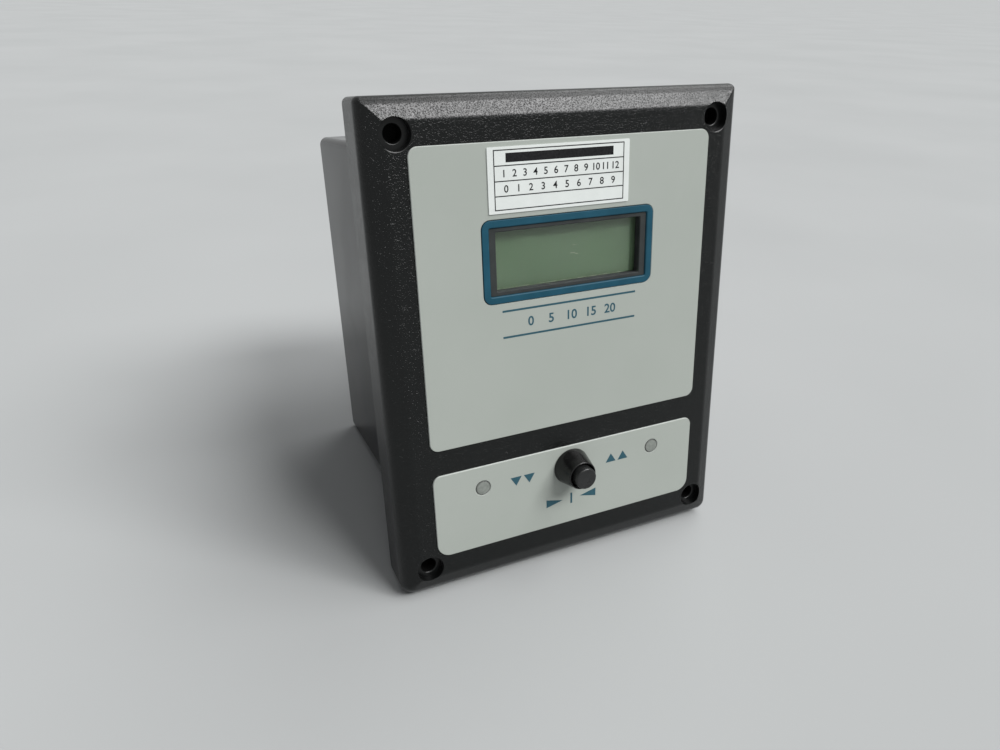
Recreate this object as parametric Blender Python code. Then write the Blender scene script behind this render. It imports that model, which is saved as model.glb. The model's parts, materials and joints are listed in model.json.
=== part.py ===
"""Panel-mount water monitor with a recessed display, two lamps and a set-point push button.

Every piece is modelled upright: x to the right of the face, y from the face to the back, z up from the
bezel's lower edge. The whole is then leaned back, as it stands on a bench, on the bezel's lower edge and on
the lower rear edge of its housing.
"""
import math

import bmesh
import bpy
from mathutils import Matrix, Vector

MM = 0.001

# Fits
CLEAR = 0.3 * MM            # between pieces that meet
FILM_GAP = 0.15 * MM        # under thin films and adhesive labels
RUNNING = 0.3 * MM          # round a moving stem
OVERCUT = 1.0 * MM          # how far a cutter reaches past the face it opens

# Round pieces
ROUND_STEPS = 32
SMALL_STEPS = 16
SCREW_STEPS = 12
CORNER_STEPS = 4
EDGE_STEPS = 6

# Front bezel
BEZEL_WIDTH = 122.5 * MM
BEZEL_HEIGHT = 154 * MM
BEZEL_DEPTH = 16.4 * MM
BEZEL_BEVEL = 6.4 * MM      # width of the bevel along the front edge
BEZEL_SLOPE = 22            # its slope against the face, in degrees
BEZEL_ROUND = 4 * MM        # round from the bevel into the sides
BEZEL_CORNER = 1.8 * MM     # corner radius of the outline
BEZEL_MITRE = 0.25 * MM     # least corner radius, where the bevel is mitred
BEZEL_PLATE = 2.5 * MM      # thickness behind the faceplates
BEZEL_LEDGE = 9 * MM        # depth from the face to the ledge that takes the housing's flange
BEZEL_RIM = 3 * MM          # outer wall at the back
HOLE_INSET = 9.5 * MM       # corner holes, in from both edges
HOLE_RADIUS = 2.3 * MM
COUNTERBORE_RADIUS = 4.35 * MM
COUNTERBORE_DEPTH = 3.5 * MM

# Rear housing
OVERHANG_SIDE = 10.65 * MM  # bezel past the housing, left and right
OVERHANG_END = 13.85 * MM   # bezel past the housing, top and bottom
HOUSING_REAR = 114.5 * MM   # outer rear face, from the bezel's face
HOUSING_WALL = 2.5 * MM
HOUSING_REAR_WALL = 3 * MM
HOUSING_CORNER = 3 * MM
HOUSING_EDGE = 2 * MM       # round of the rear edges
FLANGE_THICK = 3 * MM
GASKET_THICK = 1 * MM
FLANGE_SCREW_SPREAD = 60 * MM

# Screws
SCREW_RADIUS = 1.2 * MM
SCREW_HEAD_RADIUS = 2.6 * MM
SCREW_HEAD_HEIGHT = 1.8 * MM
SLOT_WIDTH = 0.8 * MM
SLOT_DEPTH = 0.9 * MM
HOUSING_SCREW_LENGTH = 8.5 * MM
BOARD_SCREW_LENGTH = 6.5 * MM
BOSS_WALL = 2.2 * MM

# Faceplates
LABEL_SIDE = 12.25 * MM     # in from the bezel's sides
LABEL_TOP = 12.9 * MM       # in from the bezel's top
LABEL_BOTTOM = 13.3 * MM
LABEL_SPACING = 8.6 * MM    # between the two plates
LOWER_LABEL_HEIGHT = 29.4 * MM
LABEL_THICK = 0.7 * MM
LABEL_POCKET = 0.4 * MM
LABEL_CORNER = 2.8 * MM
LABEL_FOOT_CORNER = 4.5 * MM    # lower corners of the lower plate, beside the holes

# Sticker
STICKER_WIDTH = 46.2 * MM
STICKER_HEIGHT = 18.2 * MM
STICKER_THICK = 0.15 * MM
STICKER_OFFSET = -3.5 * MM  # left of the middle
STICKER_DROP = 1.4 * MM     # below the upper plate's top edge

# Display
DISPLAY_DROP = 33.6 * MM    # its middle, below the upper plate's top edge
OPENING_WIDTH = 49.3 * MM
OPENING_HEIGHT = 17.6 * MM
LAND_SIDE = 2 * MM          # bezel showing beside the opening
LAND_END = 1.1 * MM         # and above and below it
TRIM_WIDTH = 2.2 * MM
TRIM_PROUD = 0.25 * MM      # above the faceplate
TRIM_CORNER = 2.6 * MM
LAND_CORNER = 0.5 * MM
GLASS_WIDTH = 50.8 * MM
GLASS_HEIGHT = 30.5 * MM
LCD_THICK = 2.8 * MM
WINDOW_THICK = 0.5 * MM
HOLDER_WALL = 3 * MM
ZEBRA_HEIGHT = 4.3 * MM
ZEBRA_THICK = 2.2 * MM
ZEBRA_INSET = 0.6 * MM      # in from the edges of the glass

# Display board
BOARD_THICK = 1.6 * MM
BOARD_MARGIN = 3 * MM       # to the housing's inner walls
BOARD_HOLE_INSET = 5 * MM
BOARD_HOLE_RADIUS = 1.7 * MM
BOARD_ABOVE = 24 * MM       # board above the display's middle
BOARD_BELOW = 12 * MM       # board below the lamps
CHIP_WIDTH = 52 * MM
CHIP_HEIGHT = 13.7 * MM
CHIP_THICK = 4 * MM
HEADER_WIDTH = 18 * MM
HEADER_HEIGHT = 6 * MM
HEADER_DEPTH = 7 * MM
HEADER_INSET = 12 * MM      # its middle, in from the board's left edge
HEADER_BELOW = 45 * MM      # below the display's middle

# Lamps
LAMP_DROP = 7.7 * MM        # lamps and button, below the lower plate's top edge
LAMP_INSET = 16.7 * MM      # lamps, in from the lower plate's side edges
LAMP_WINDOW_RADIUS = 2.45 * MM
LAMP_FLANGE_RADIUS = 3.6 * MM
LAMP_FLANGE_THICK = 1 * MM
LED_RADIUS = 2.5 * MM
LED_FLANGE_RADIUS = 2.9 * MM
LED_FLANGE_THICK = 1 * MM

# Push button
SLEEVE_FLARE = 1.3 * MM     # base wider than the rim
SLEEVE_RIM_WALL = 0.45 * MM
SLEEVE_HEIGHT = 7.5 * MM
SLEEVE_SEAT = 3.5 * MM      # length of the sleeve's narrow, threaded part
SLEEVE_CHAMFER = 0.2 * MM
CAP_RADIUS = 3.7 * MM
CAP_GAP = 0.75 * MM         # round the cap, inside the sleeve
CAP_PROUD = 2.35 * MM       # cap past the sleeve's rim
CAP_ROUND = 0.5 * MM
BUTTON_TRAVEL = 1.8 * MM
STEM_RADIUS = 1.5 * MM
COLLAR_RADIUS = 2.3 * MM
COLLAR_THICK = 1 * MM
NECK_RADIUS = 3.2 * MM
SWITCH_WIDTH = 12 * MM
SWITCH_GUIDE = 3 * MM       # length of the stem's guide behind the panel
SPRING_LENGTH = 8 * MM
SPRING_WIRE = 0.25 * MM     # wire radius
SPRING_TURNS = 5
SPRING_POINTS = 10          # per turn
SWITCH_BASE_THICK = 2 * MM

# Main board and what it carries
STANDOFF_HEIGHT = 17.6 * MM
STANDOFF_RADIUS = 4 * MM
CORE_WIDTH = 50 * MM
CORE_HEIGHT = 42 * MM       # away from the board
CORE_THICK = 17 * MM
CORE_YOKE = 8.5 * MM        # width of the outer legs and yokes
COIL_WALL = 7.6 * MM
TRANSFORMER_DROP = 22 * MM  # its middle, below the board's middle
RELAY_WIDTH = 28 * MM
RELAY_HEIGHT = 12.5 * MM
RELAY_DEPTH = 15.7 * MM
RELAY_INSET = 23.1 * MM     # middles, in from the main board's side edge
RELAY_DROP = 24.6 * MM      # and down from its top edge
CAPACITOR_RADIUS = 8 * MM
CAPACITOR_HEIGHT = 25 * MM
CAPACITOR_INSET = 21.1 * MM
CAPACITOR_DROP = 43.6 * MM
FUSE_RADIUS = 2.5 * MM
FUSE_LENGTH = 20 * MM
FUSE_INSET = 21.1 * MM
FUSE_DROP = 19.6 * MM
HOLDER_BASE = 3 * MM        # fuse holder's floor
HOLDER_EAR = 3 * MM         # thickness of its ears
MAIN_HEADER_DROP = 45.6 * MM
RIBBON_WIDTH = 15 * MM
RIBBON_THICK = 1 * MM
RIBBON_SAG = 9 * MM
RIBBON_POINTS = 14

# Rear terminals
POLES = 8
POLE_PITCH = 9.5 * MM
BARRIER = 1.5 * MM
TERMINAL_HEIGHT = 14 * MM
TERMINAL_RECESS = 1.5 * MM  # its face, below the housing's rear face
TERMINAL_POCKET = 4 * MM
TERMINAL_END = 2 * MM
TERMINAL_DROP = 30 * MM     # below the board's middle
TERMINAL_SCREW_RADIUS = 2.9 * MM
TERMINAL_SHANK_LENGTH = 4 * MM
TERMINAL_OPENING_GAP = 1 * MM

# Set-point adjuster
TRIMMER_WIDTH = 9.5 * MM
TRIMMER_DEPTH = 10 * MM
TRIMMER_INSET = 21.1 * MM
TRIMMER_DROP = 45.6 * MM
ROTOR_RADIUS = 1.7 * MM
ROTOR_SEAT = 3 * MM         # how deep the rotor sits in its body
TRIMMER_HOLE_RADIUS = 2.5 * MM

# Places that follow from the sizes above
CENTRE_Z = BEZEL_HEIGHT / 2
HOUSING_WIDTH = BEZEL_WIDTH - 2 * OVERHANG_SIDE
HOUSING_HEIGHT = BEZEL_HEIGHT - 2 * OVERHANG_END
INSIDE_WIDTH = HOUSING_WIDTH - 2 * HOUSING_WALL
INSIDE_HEIGHT = HOUSING_HEIGHT - 2 * HOUSING_WALL
INSIDE_CORNER = max(HOUSING_CORNER - HOUSING_WALL, CLEAR)

LABEL_WIDTH = BEZEL_WIDTH - 2 * LABEL_SIDE
UPPER_TOP = BEZEL_HEIGHT - LABEL_TOP
LOWER_TOP = LABEL_BOTTOM + LOWER_LABEL_HEIGHT
UPPER_LABEL_HEIGHT = UPPER_TOP - LOWER_TOP - LABEL_SPACING
UPPER_Z = UPPER_TOP - UPPER_LABEL_HEIGHT / 2
LOWER_Z = LABEL_BOTTOM + LOWER_LABEL_HEIGHT / 2
DISPLAY_Z = UPPER_TOP - DISPLAY_DROP
LAMP_Z = LOWER_TOP - LAMP_DROP
LAMP_X = LABEL_WIDTH / 2 - LAMP_INSET

LABEL_BACK = LABEL_POCKET - FILM_GAP
LABEL_FRONT = LABEL_BACK - LABEL_THICK
WINDOW_FRONT = BEZEL_PLATE + FILM_GAP
LCD_FRONT = WINDOW_FRONT + WINDOW_THICK + FILM_GAP
ZEBRA_FRONT = LCD_FRONT + LCD_THICK + CLEAR
BOARD_FRONT = ZEBRA_FRONT + ZEBRA_HEIGHT + CLEAR
BOARD_BACK = BOARD_FRONT + BOARD_THICK
BOSS_HOLE_RADIUS = SCREW_RADIUS + CLEAR
BOSS_RADIUS = BOSS_HOLE_RADIUS + BOSS_WALL

LAND_OUTER_WIDTH = OPENING_WIDTH + 2 * LAND_SIDE
LAND_OUTER_HEIGHT = OPENING_HEIGHT + 2 * LAND_END
TRIM_INNER_WIDTH = LAND_OUTER_WIDTH + 2 * FILM_GAP
TRIM_INNER_HEIGHT = LAND_OUTER_HEIGHT + 2 * FILM_GAP
TRIM_OUTER_WIDTH = TRIM_INNER_WIDTH + 2 * TRIM_WIDTH
TRIM_OUTER_HEIGHT = TRIM_INNER_HEIGHT + 2 * TRIM_WIDTH

GASKET_FRONT = BEZEL_LEDGE + CLEAR
FLANGE_FRONT = GASKET_FRONT + GASKET_THICK + CLEAR
FLANGE_BACK = FLANGE_FRONT + FLANGE_THICK
FLANGE_SCREW_Z = (HOUSING_HEIGHT / 2 + BEZEL_HEIGHT / 2 - BEZEL_RIM) / 2
REAR_INSIDE = HOUSING_REAR - HOUSING_REAR_WALL
MAIN_BACK = REAR_INSIDE - STANDOFF_HEIGHT - CLEAR
MAIN_FRONT = MAIN_BACK - BOARD_THICK

BOARD_WIDTH = INSIDE_WIDTH - 2 * BOARD_MARGIN
DISPLAY_BOARD_TOP = DISPLAY_Z + BOARD_ABOVE
DISPLAY_BOARD_FOOT = LAMP_Z - BOARD_BELOW
DISPLAY_BOARD_HEIGHT = DISPLAY_BOARD_TOP - DISPLAY_BOARD_FOOT
DISPLAY_BOARD_Z = (DISPLAY_BOARD_TOP + DISPLAY_BOARD_FOOT) / 2
MAIN_BOARD_HEIGHT = INSIDE_HEIGHT - 2 * BOARD_MARGIN
BOARD_SIDE = BOARD_WIDTH / 2
MAIN_BOARD_TOP = CENTRE_Z + MAIN_BOARD_HEIGHT / 2
HEADER_X = HEADER_INSET - BOARD_SIDE
RELAY_X = BOARD_SIDE - RELAY_INSET
CAPACITOR_X = BOARD_SIDE - CAPACITOR_INSET
FUSE_X = FUSE_INSET - BOARD_SIDE
FUSE_Z = MAIN_BOARD_TOP - FUSE_DROP
MAIN_HEADER_Z = MAIN_BOARD_TOP - MAIN_HEADER_DROP
TRIMMER_X = BOARD_SIDE - TRIMMER_INSET
TRIMMER_Z = MAIN_BOARD_TOP - TRIMMER_DROP

SLEEVE_BORE = CAP_RADIUS + CAP_GAP
SLEEVE_RIM_RADIUS = SLEEVE_BORE + SLEEVE_RIM_WALL
SLEEVE_BASE_RADIUS = SLEEVE_RIM_RADIUS + SLEEVE_FLARE
SLEEVE_BASE = LABEL_FRONT - CLEAR
SLEEVE_RIM = SLEEVE_BASE - SLEEVE_HEIGHT
SLEEVE_STEP = SLEEVE_BASE - SLEEVE_SEAT
CAP_FRONT = SLEEVE_RIM - CAP_PROUD
CAP_BACK = SLEEVE_STEP - CLEAR - BUTTON_TRAVEL
NECK_FRONT = SLEEVE_STEP + CLEAR
SWITCH_FRONT = BEZEL_PLATE + CLEAR
GUIDE_BACK = SWITCH_FRONT + SWITCH_GUIDE
COLLAR_FRONT = GUIDE_BACK + RUNNING
COLLAR_BACK = COLLAR_FRONT + COLLAR_THICK
SPRING_FRONT = COLLAR_BACK + CLEAR
SPRING_BACK = SPRING_FRONT + SPRING_LENGTH
SWITCH_BACK = SPRING_BACK + CLEAR
PLUNGER_BORE = COLLAR_RADIUS + RUNNING

TERMINAL_WIDTH = POLES * POLE_PITCH + 2 * TERMINAL_END
TERMINAL_Z = CENTRE_Z - TERMINAL_DROP
TERMINAL_FRONT = MAIN_BACK + CLEAR
TERMINAL_FACE = HOUSING_REAR - TERMINAL_RECESS
TRIMMER_FRONT = MAIN_BACK + CLEAR
TRIMMER_BACK = TRIMMER_FRONT + TRIMMER_DEPTH
ROTOR_BACK = REAR_INSIDE - CLEAR


def lean_angle():
    """Angle at which the bezel's lower rear edge and the housing's rounded rear edge touch one floor."""
    run = HOUSING_REAR - HOUSING_EDGE - BEZEL_DEPTH
    rise = OVERHANG_END + HOUSING_EDGE
    return math.atan2(rise, run) - math.asin(HOUSING_EDGE / math.hypot(run, rise))


# Modelling helpers

def clear_scene():
    for obj in list(bpy.data.objects):
        bpy.data.objects.remove(obj, do_unlink=True)


def finish(name, color, roughness, metallic=0.0, alpha=1.0):
    """Principled material of one piece."""
    mat = bpy.data.materials.new(name)
    mat.use_nodes = True
    shader = mat.node_tree.nodes["Principled BSDF"]
    shader.inputs["Base Color"].default_value = (*color, 1.0)
    shader.inputs["Roughness"].default_value = roughness
    shader.inputs["Metallic"].default_value = metallic
    shader.inputs["Alpha"].default_value = alpha
    return mat


def rounded_rect(width, height, radius, foot_radius=None):
    """Outline in x and z round the origin, counter-clockwise from the front, lower corners first."""
    foot = radius if foot_radius is None else foot_radius
    turns = ((-1, -1, foot), (1, -1, foot), (1, 1, radius), (-1, 1, radius))
    points = []
    for index, (side, end, corner) in enumerate(turns):
        middle_x = side * (width / 2 - corner)
        middle_z = end * (height / 2 - corner)
        for step in range(CORNER_STEPS + 1):
            angle = math.pi / 2 * (2 + index + step / CORNER_STEPS)
            points.append((middle_x + corner * math.cos(angle), middle_z + corner * math.sin(angle)))
    return points


def circle(radius, steps=SMALL_STEPS):
    return [(radius * math.cos(2 * math.pi * i / steps), radius * math.sin(2 * math.pi * i / steps))
            for i in range(steps)]


def cross_outline(gap):
    """Outline of the bezel's back: the corners stay solid round the mounting holes."""
    side = BEZEL_WIDTH / 2 - BEZEL_RIM - gap
    end = BEZEL_HEIGHT / 2 - BEZEL_RIM - gap
    shoulder_z = HOUSING_HEIGHT / 2 + CLEAR - gap
    shoulder_x = BEZEL_WIDTH / 2 - HOLE_INSET - COUNTERBORE_RADIUS - gap
    quarter = [(side, shoulder_z), (shoulder_x, shoulder_z), (shoulder_x, end)]
    upper = quarter + [(-x, z) for x, z in reversed(quarter)]
    return upper + [(-x, -z) for x, z in upper]


def add_loop(bm, outline, y):
    return [bm.verts.new((x, y, z)) for x, z in outline]


def skin(bm, loops):
    """Faces between neighbouring loops of equally many points."""
    for near, far in zip(loops, loops[1:]):
        for i in range(len(near)):
            j = (i + 1) % len(near)
            bm.faces.new((near[i], near[j], far[j], far[i]))


def stack(rings):
    """Closed solid through a list of (outline, y)."""
    bm = bmesh.new()
    loops = [add_loop(bm, outline, y) for outline, y in rings]
    skin(bm, loops)
    bm.faces.new(loops[0])
    bm.faces.new(loops[-1])
    return bm


def slab(outline, front, back):
    """Outline extruded from front to back."""
    bm = bmesh.new()
    face = bm.faces.new(add_loop(bm, outline, front))
    grown = bmesh.ops.extrude_face_region(bm, geom=[face])["geom"]
    verts = [item for item in grown if isinstance(item, bmesh.types.BMVert)]
    bmesh.ops.translate(bm, verts=verts, vec=(0, back - front, 0))
    return bm


def ring_slab(outer, inner, front, back):
    """Extruded ring between two outlines of equally many points."""
    bm = bmesh.new()
    loops = [add_loop(bm, outer, front), add_loop(bm, outer, back),
             add_loop(bm, inner, back), add_loop(bm, inner, front)]
    skin(bm, loops + loops[:1])
    return bm


def block(width, height, front, back):
    return slab([(-width / 2, -height / 2), (width / 2, -height / 2),
                 (width / 2, height / 2), (-width / 2, height / 2)], front, back)


def turned(profile, steps=SMALL_STEPS):
    """Solid turned about the y axis from a closed profile of (radius, y)."""
    bm = bmesh.new()
    verts = [bm.verts.new((radius, y, 0)) for radius, y in profile]
    edges = [bm.edges.new(pair) for pair in zip(verts, verts[1:] + verts[:1])]
    bmesh.ops.spin(bm, geom=verts + edges, cent=(0, 0, 0), axis=(0, 1, 0), angle=2 * math.pi,
                   steps=steps, use_merge=True)
    bmesh.ops.remove_doubles(bm, verts=bm.verts, dist=MM / 1000)
    lines = [edge for edge in bm.edges if not edge.link_faces]
    bmesh.ops.delete(bm, geom=lines, context="EDGES")
    return bm


def pin(radius, front, back, steps=SMALL_STEPS):
    return slab(circle(radius, steps), front, back)


def moved(bm, x=0.0, z=0.0, y=0.0):
    bmesh.ops.translate(bm, verts=bm.verts, vec=(x, y, z))
    return bm


def joined(parts):
    """One mesh from several that lie apart."""
    whole = bmesh.new()
    for part in parts:
        mesh = to_mesh(part, "scratch")
        whole.from_mesh(mesh)
        bpy.data.meshes.remove(mesh)
    return whole


def to_mesh(bm, name):
    bmesh.ops.recalc_face_normals(bm, faces=bm.faces)
    mesh = bpy.data.meshes.new(name)
    bm.to_mesh(mesh)
    bm.free()
    return mesh


def place(name, bm, mat, x=0.0, y=0.0, z=0.0):
    """Named piece at a place of the upright model, carried by the leaning frame."""
    mesh = to_mesh(bm, name)
    mesh.shade_smooth()
    mesh.set_sharp_from_angle(angle=math.radians(30))
    if mat:
        mesh.materials.append(mat)
    obj = bpy.data.objects.new(name, mesh)
    bpy.context.scene.collection.objects.link(obj)
    obj.parent = STAND
    obj.location = (x, y, z)
    return obj


def combine(piece, bm, operation, name):
    """Cut a shape out of a piece, or unite it, with a hidden tool in the piece's own axes."""
    tool = place(piece.name + "." + name, bm, None, *piece.location)
    tool.hide_render = True
    tool.hide_viewport = False
    tool.display_type = "WIRE"
    modifier = piece.modifiers.new(name, "BOOLEAN")
    modifier.operation = operation
    modifier.object = tool
    modifier.solver = "EXACT"


def cut(piece, bm, name):
    combine(piece, bm, "DIFFERENCE", name)


def unite(piece, bm, name):
    combine(piece, bm, "UNION", name)


def corners(spread_x, spread_z):
    return [(sx * spread_x / 2, sz * spread_z / 2) for sz in (-1, 1) for sx in (-1, 1)]


def at_places(make, places):
    """Copies of one shape at several places of a face."""
    return joined([moved(make(), x, z) for x, z in places])


def screw(name, mat, head_radius, length, x, y, z, toward):
    """Slotted screw: its head's seat is at y, and its shank runs toward the front (-1) or the back (1)."""
    head = -toward * SCREW_HEAD_HEIGHT
    profile = [(0, toward * length), (SCREW_RADIUS, toward * length), (SCREW_RADIUS, 0), (head_radius, 0),
               (head_radius, head * 0.6), (head_radius * 0.75, head), (0, head)]
    piece = place(name, turned(profile, SCREW_STEPS), mat, x, y, z)
    slot = sorted((head - toward * OVERCUT, head + toward * SLOT_DEPTH))
    cut(piece, block(2 * head_radius + OVERCUT, SLOT_WIDTH, *slot), "slot")
    return piece


# Enclosure

def bevel_profile():
    """Front edge of the bezel as (inset, depth): a round out of the sides, then a flat slope to the face."""
    slope = math.radians(BEZEL_SLOPE)
    flat = BEZEL_BEVEL - BEZEL_ROUND * (1 - math.sin(slope))
    profile = []
    for step in range(EDGE_STEPS + 1):
        angle = slope + (math.pi / 2 - slope) * (1 - step / EDGE_STEPS)
        profile.append((BEZEL_ROUND * (1 - math.sin(angle)),
                        flat * math.tan(slope) + BEZEL_ROUND * (math.cos(slope) - math.cos(angle))))
    return profile + [(BEZEL_BEVEL, 0)]


def make_bezel(mat):
    rings = [(rounded_rect(BEZEL_WIDTH, BEZEL_HEIGHT, BEZEL_CORNER), BEZEL_DEPTH)]
    for inset, y in bevel_profile():
        corner = max(BEZEL_CORNER - inset, BEZEL_MITRE)
        outline = rounded_rect(BEZEL_WIDTH - 2 * inset, BEZEL_HEIGHT - 2 * inset, corner)
        rings.append((outline, y))
    bezel = place("front_bezel", stack(rings), mat, z=CENTRE_Z)

    cut(bezel, slab(cross_outline(0), BEZEL_LEDGE, BEZEL_DEPTH + OVERCUT), "flange_recess")
    inside = rounded_rect(INSIDE_WIDTH, INSIDE_HEIGHT, INSIDE_CORNER)
    cut(bezel, slab(inside, BEZEL_PLATE, BEZEL_LEDGE + OVERCUT), "board_recess")
    bosses = moved(at_places(lambda: boss(BEZEL_PLATE - OVERCUT, BOARD_FRONT - CLEAR),
                             display_board_holes()), z=DISPLAY_BOARD_Z - CENTRE_Z)
    unite(bezel, bosses, "board_bosses")

    upper = outline_at(label_outline(UPPER_LABEL_HEIGHT, LABEL_CORNER, FILM_GAP), UPPER_Z - CENTRE_Z)
    land = outline_at(rounded_rect(LAND_OUTER_WIDTH, LAND_OUTER_HEIGHT, LAND_CORNER), DISPLAY_Z - CENTRE_Z)
    cut(bezel, ring_slab(upper, land, -OVERCUT, LABEL_POCKET), "upper_pocket")
    lower = label_outline(LOWER_LABEL_HEIGHT, LABEL_CORNER, FILM_GAP, LABEL_FOOT_CORNER)
    cut(bezel, moved(slab(lower, -OVERCUT, LABEL_POCKET), z=LOWER_Z - CENTRE_Z), "lower_pocket")

    through = BEZEL_PLATE + OVERCUT
    openings = [moved(block(OPENING_WIDTH, OPENING_HEIGHT, -OVERCUT, through), z=DISPLAY_Z - CENTRE_Z),
                moved(pin(NECK_RADIUS + CLEAR, -OVERCUT, through), z=LAMP_Z - CENTRE_Z)]
    for x in (-LAMP_X, LAMP_X):
        openings.append(moved(pin(LAMP_WINDOW_RADIUS + FILM_GAP, -OVERCUT, through), x, LAMP_Z - CENTRE_Z))
    cut(bezel, joined(openings), "face_openings")

    mount = [(0, -OVERCUT), (COUNTERBORE_RADIUS, -OVERCUT), (COUNTERBORE_RADIUS, COUNTERBORE_DEPTH),
             (HOLE_RADIUS, COUNTERBORE_DEPTH), (HOLE_RADIUS, BEZEL_DEPTH + OVERCUT),
             (0, BEZEL_DEPTH + OVERCUT)]
    spread = (BEZEL_WIDTH - 2 * HOLE_INSET, BEZEL_HEIGHT - 2 * HOLE_INSET)
    cut(bezel, at_places(lambda: turned(mount, 24), corners(*spread)), "mounting_holes")

    screw_tip = FLANGE_BACK + CLEAR - HOUSING_SCREW_LENGTH - CLEAR
    cut(bezel, at_places(lambda: pin(BOSS_HOLE_RADIUS, screw_tip, BEZEL_LEDGE + OVERCUT, SCREW_STEPS),
                         flange_screws()), "flange_screw_holes")


def boss(front, back):
    """Tube with a screw hole."""
    return turned([(BOSS_RADIUS, front), (BOSS_RADIUS, back), (BOSS_HOLE_RADIUS, back),
                   (BOSS_HOLE_RADIUS, front)])


def outline_at(outline, z):
    return [(x, point_z + z) for x, point_z in outline]


def label_outline(height, corner, gap, foot_corner=None):
    foot = corner if foot_corner is None else foot_corner
    return rounded_rect(LABEL_WIDTH + 2 * gap, height + 2 * gap, corner + gap, foot + gap)


def flange_screws():
    return corners(FLANGE_SCREW_SPREAD, 2 * FLANGE_SCREW_Z)


def display_board_holes():
    return corners(BOARD_WIDTH - 2 * BOARD_HOLE_INSET, DISPLAY_BOARD_HEIGHT - 2 * BOARD_HOLE_INSET)


def main_board_holes():
    return corners(BOARD_WIDTH - 2 * BOARD_HOLE_INSET, MAIN_BOARD_HEIGHT - 2 * BOARD_HOLE_INSET)


def make_gasket(mat):
    back = GASKET_FRONT + GASKET_THICK
    gasket = place("housing_gasket", slab(cross_outline(2 * CLEAR), GASKET_FRONT, back), mat, z=CENTRE_Z)
    inside = rounded_rect(INSIDE_WIDTH, INSIDE_HEIGHT, INSIDE_CORNER)
    cut(gasket, slab(inside, GASKET_FRONT - OVERCUT, back + OVERCUT), "middle")
    cut(gasket, at_places(lambda: pin(BOARD_HOLE_RADIUS, GASKET_FRONT - OVERCUT, FLANGE_BACK, SCREW_STEPS),
                          flange_screws()), "screw_holes")


def make_housing(mat):
    rings = [(rounded_rect(HOUSING_WIDTH, HOUSING_HEIGHT, HOUSING_CORNER), FLANGE_FRONT)]
    for step in range(EDGE_STEPS + 1):
        angle = math.radians(90 * step / EDGE_STEPS)
        inset = HOUSING_EDGE * (1 - math.cos(angle))
        corner = max(HOUSING_CORNER - inset, BEZEL_MITRE)
        outline = rounded_rect(HOUSING_WIDTH - 2 * inset, HOUSING_HEIGHT - 2 * inset, corner)
        rings.append((outline, HOUSING_REAR - HOUSING_EDGE * (1 - math.sin(angle))))
    housing = place("rear_housing", stack(rings), mat, z=CENTRE_Z)

    unite(housing, slab(cross_outline(CLEAR), FLANGE_FRONT, FLANGE_BACK), "flange")
    inside = rounded_rect(INSIDE_WIDTH, INSIDE_HEIGHT, INSIDE_CORNER)
    cut(housing, slab(inside, FLANGE_FRONT - OVERCUT, REAR_INSIDE), "inside")
    cut(housing, at_places(lambda: pin(BOARD_HOLE_RADIUS, FLANGE_FRONT - OVERCUT, FLANGE_BACK + OVERCUT,
                                       SCREW_STEPS), flange_screws()), "flange_screw_holes")
    post = [(STANDOFF_RADIUS, MAIN_BACK + CLEAR), (STANDOFF_RADIUS, REAR_INSIDE + OVERCUT),
            (BOSS_HOLE_RADIUS, REAR_INSIDE + OVERCUT), (BOSS_HOLE_RADIUS, MAIN_BACK + CLEAR)]
    unite(housing, at_places(lambda: turned(post), main_board_holes()), "standoffs")

    window_width = TERMINAL_WIDTH + 2 * TERMINAL_OPENING_GAP
    window_height = TERMINAL_HEIGHT + 2 * TERMINAL_OPENING_GAP
    past_wall = (REAR_INSIDE - OVERCUT, HOUSING_REAR + OVERCUT)
    openings = [moved(block(window_width, window_height, *past_wall), z=-TERMINAL_DROP),
                moved(pin(TRIMMER_HOLE_RADIUS, *past_wall), TRIMMER_X, TRIMMER_Z - CENTRE_Z)]
    cut(housing, joined(openings), "rear_openings")


def make_housing_screws(mat):
    for number, (x, z) in enumerate(flange_screws(), 1):
        screw(f"housing_screw_{number}", mat, SCREW_HEAD_RADIUS, HOUSING_SCREW_LENGTH,
              x, FLANGE_BACK + CLEAR, CENTRE_Z + z, -1)


# Face

def make_faceplates(mat):
    middle = UPPER_Z - DISPLAY_Z
    outer = outline_at(label_outline(UPPER_LABEL_HEIGHT, LABEL_CORNER, 0), middle)
    window = rounded_rect(TRIM_OUTER_WIDTH + 2 * FILM_GAP, TRIM_OUTER_HEIGHT + 2 * FILM_GAP,
                          TRIM_CORNER + FILM_GAP)
    place("upper_faceplate", ring_slab(outer, window, LABEL_FRONT, LABEL_BACK), mat, z=DISPLAY_Z)

    outline = label_outline(LOWER_LABEL_HEIGHT, LABEL_CORNER, 0, LABEL_FOOT_CORNER)
    lower = place("lower_faceplate", slab(outline, LABEL_FRONT, LABEL_BACK), mat, z=LOWER_Z)
    through = (LABEL_FRONT - OVERCUT, LABEL_BACK + OVERCUT)
    holes = [moved(pin(NECK_RADIUS + CLEAR, *through), z=LAMP_Z - LOWER_Z)]
    for x in (-LAMP_X, LAMP_X):
        holes.append(moved(pin(LAMP_WINDOW_RADIUS + FILM_GAP, *through), x, LAMP_Z - LOWER_Z))
    cut(lower, joined(holes), "holes")


def make_sticker(mat):
    back = LABEL_FRONT - FILM_GAP
    place("calibration_sticker", block(STICKER_WIDTH, STICKER_HEIGHT, back - STICKER_THICK, back), mat,
          x=STICKER_OFFSET, z=UPPER_TOP - STICKER_DROP - STICKER_HEIGHT / 2)


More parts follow.
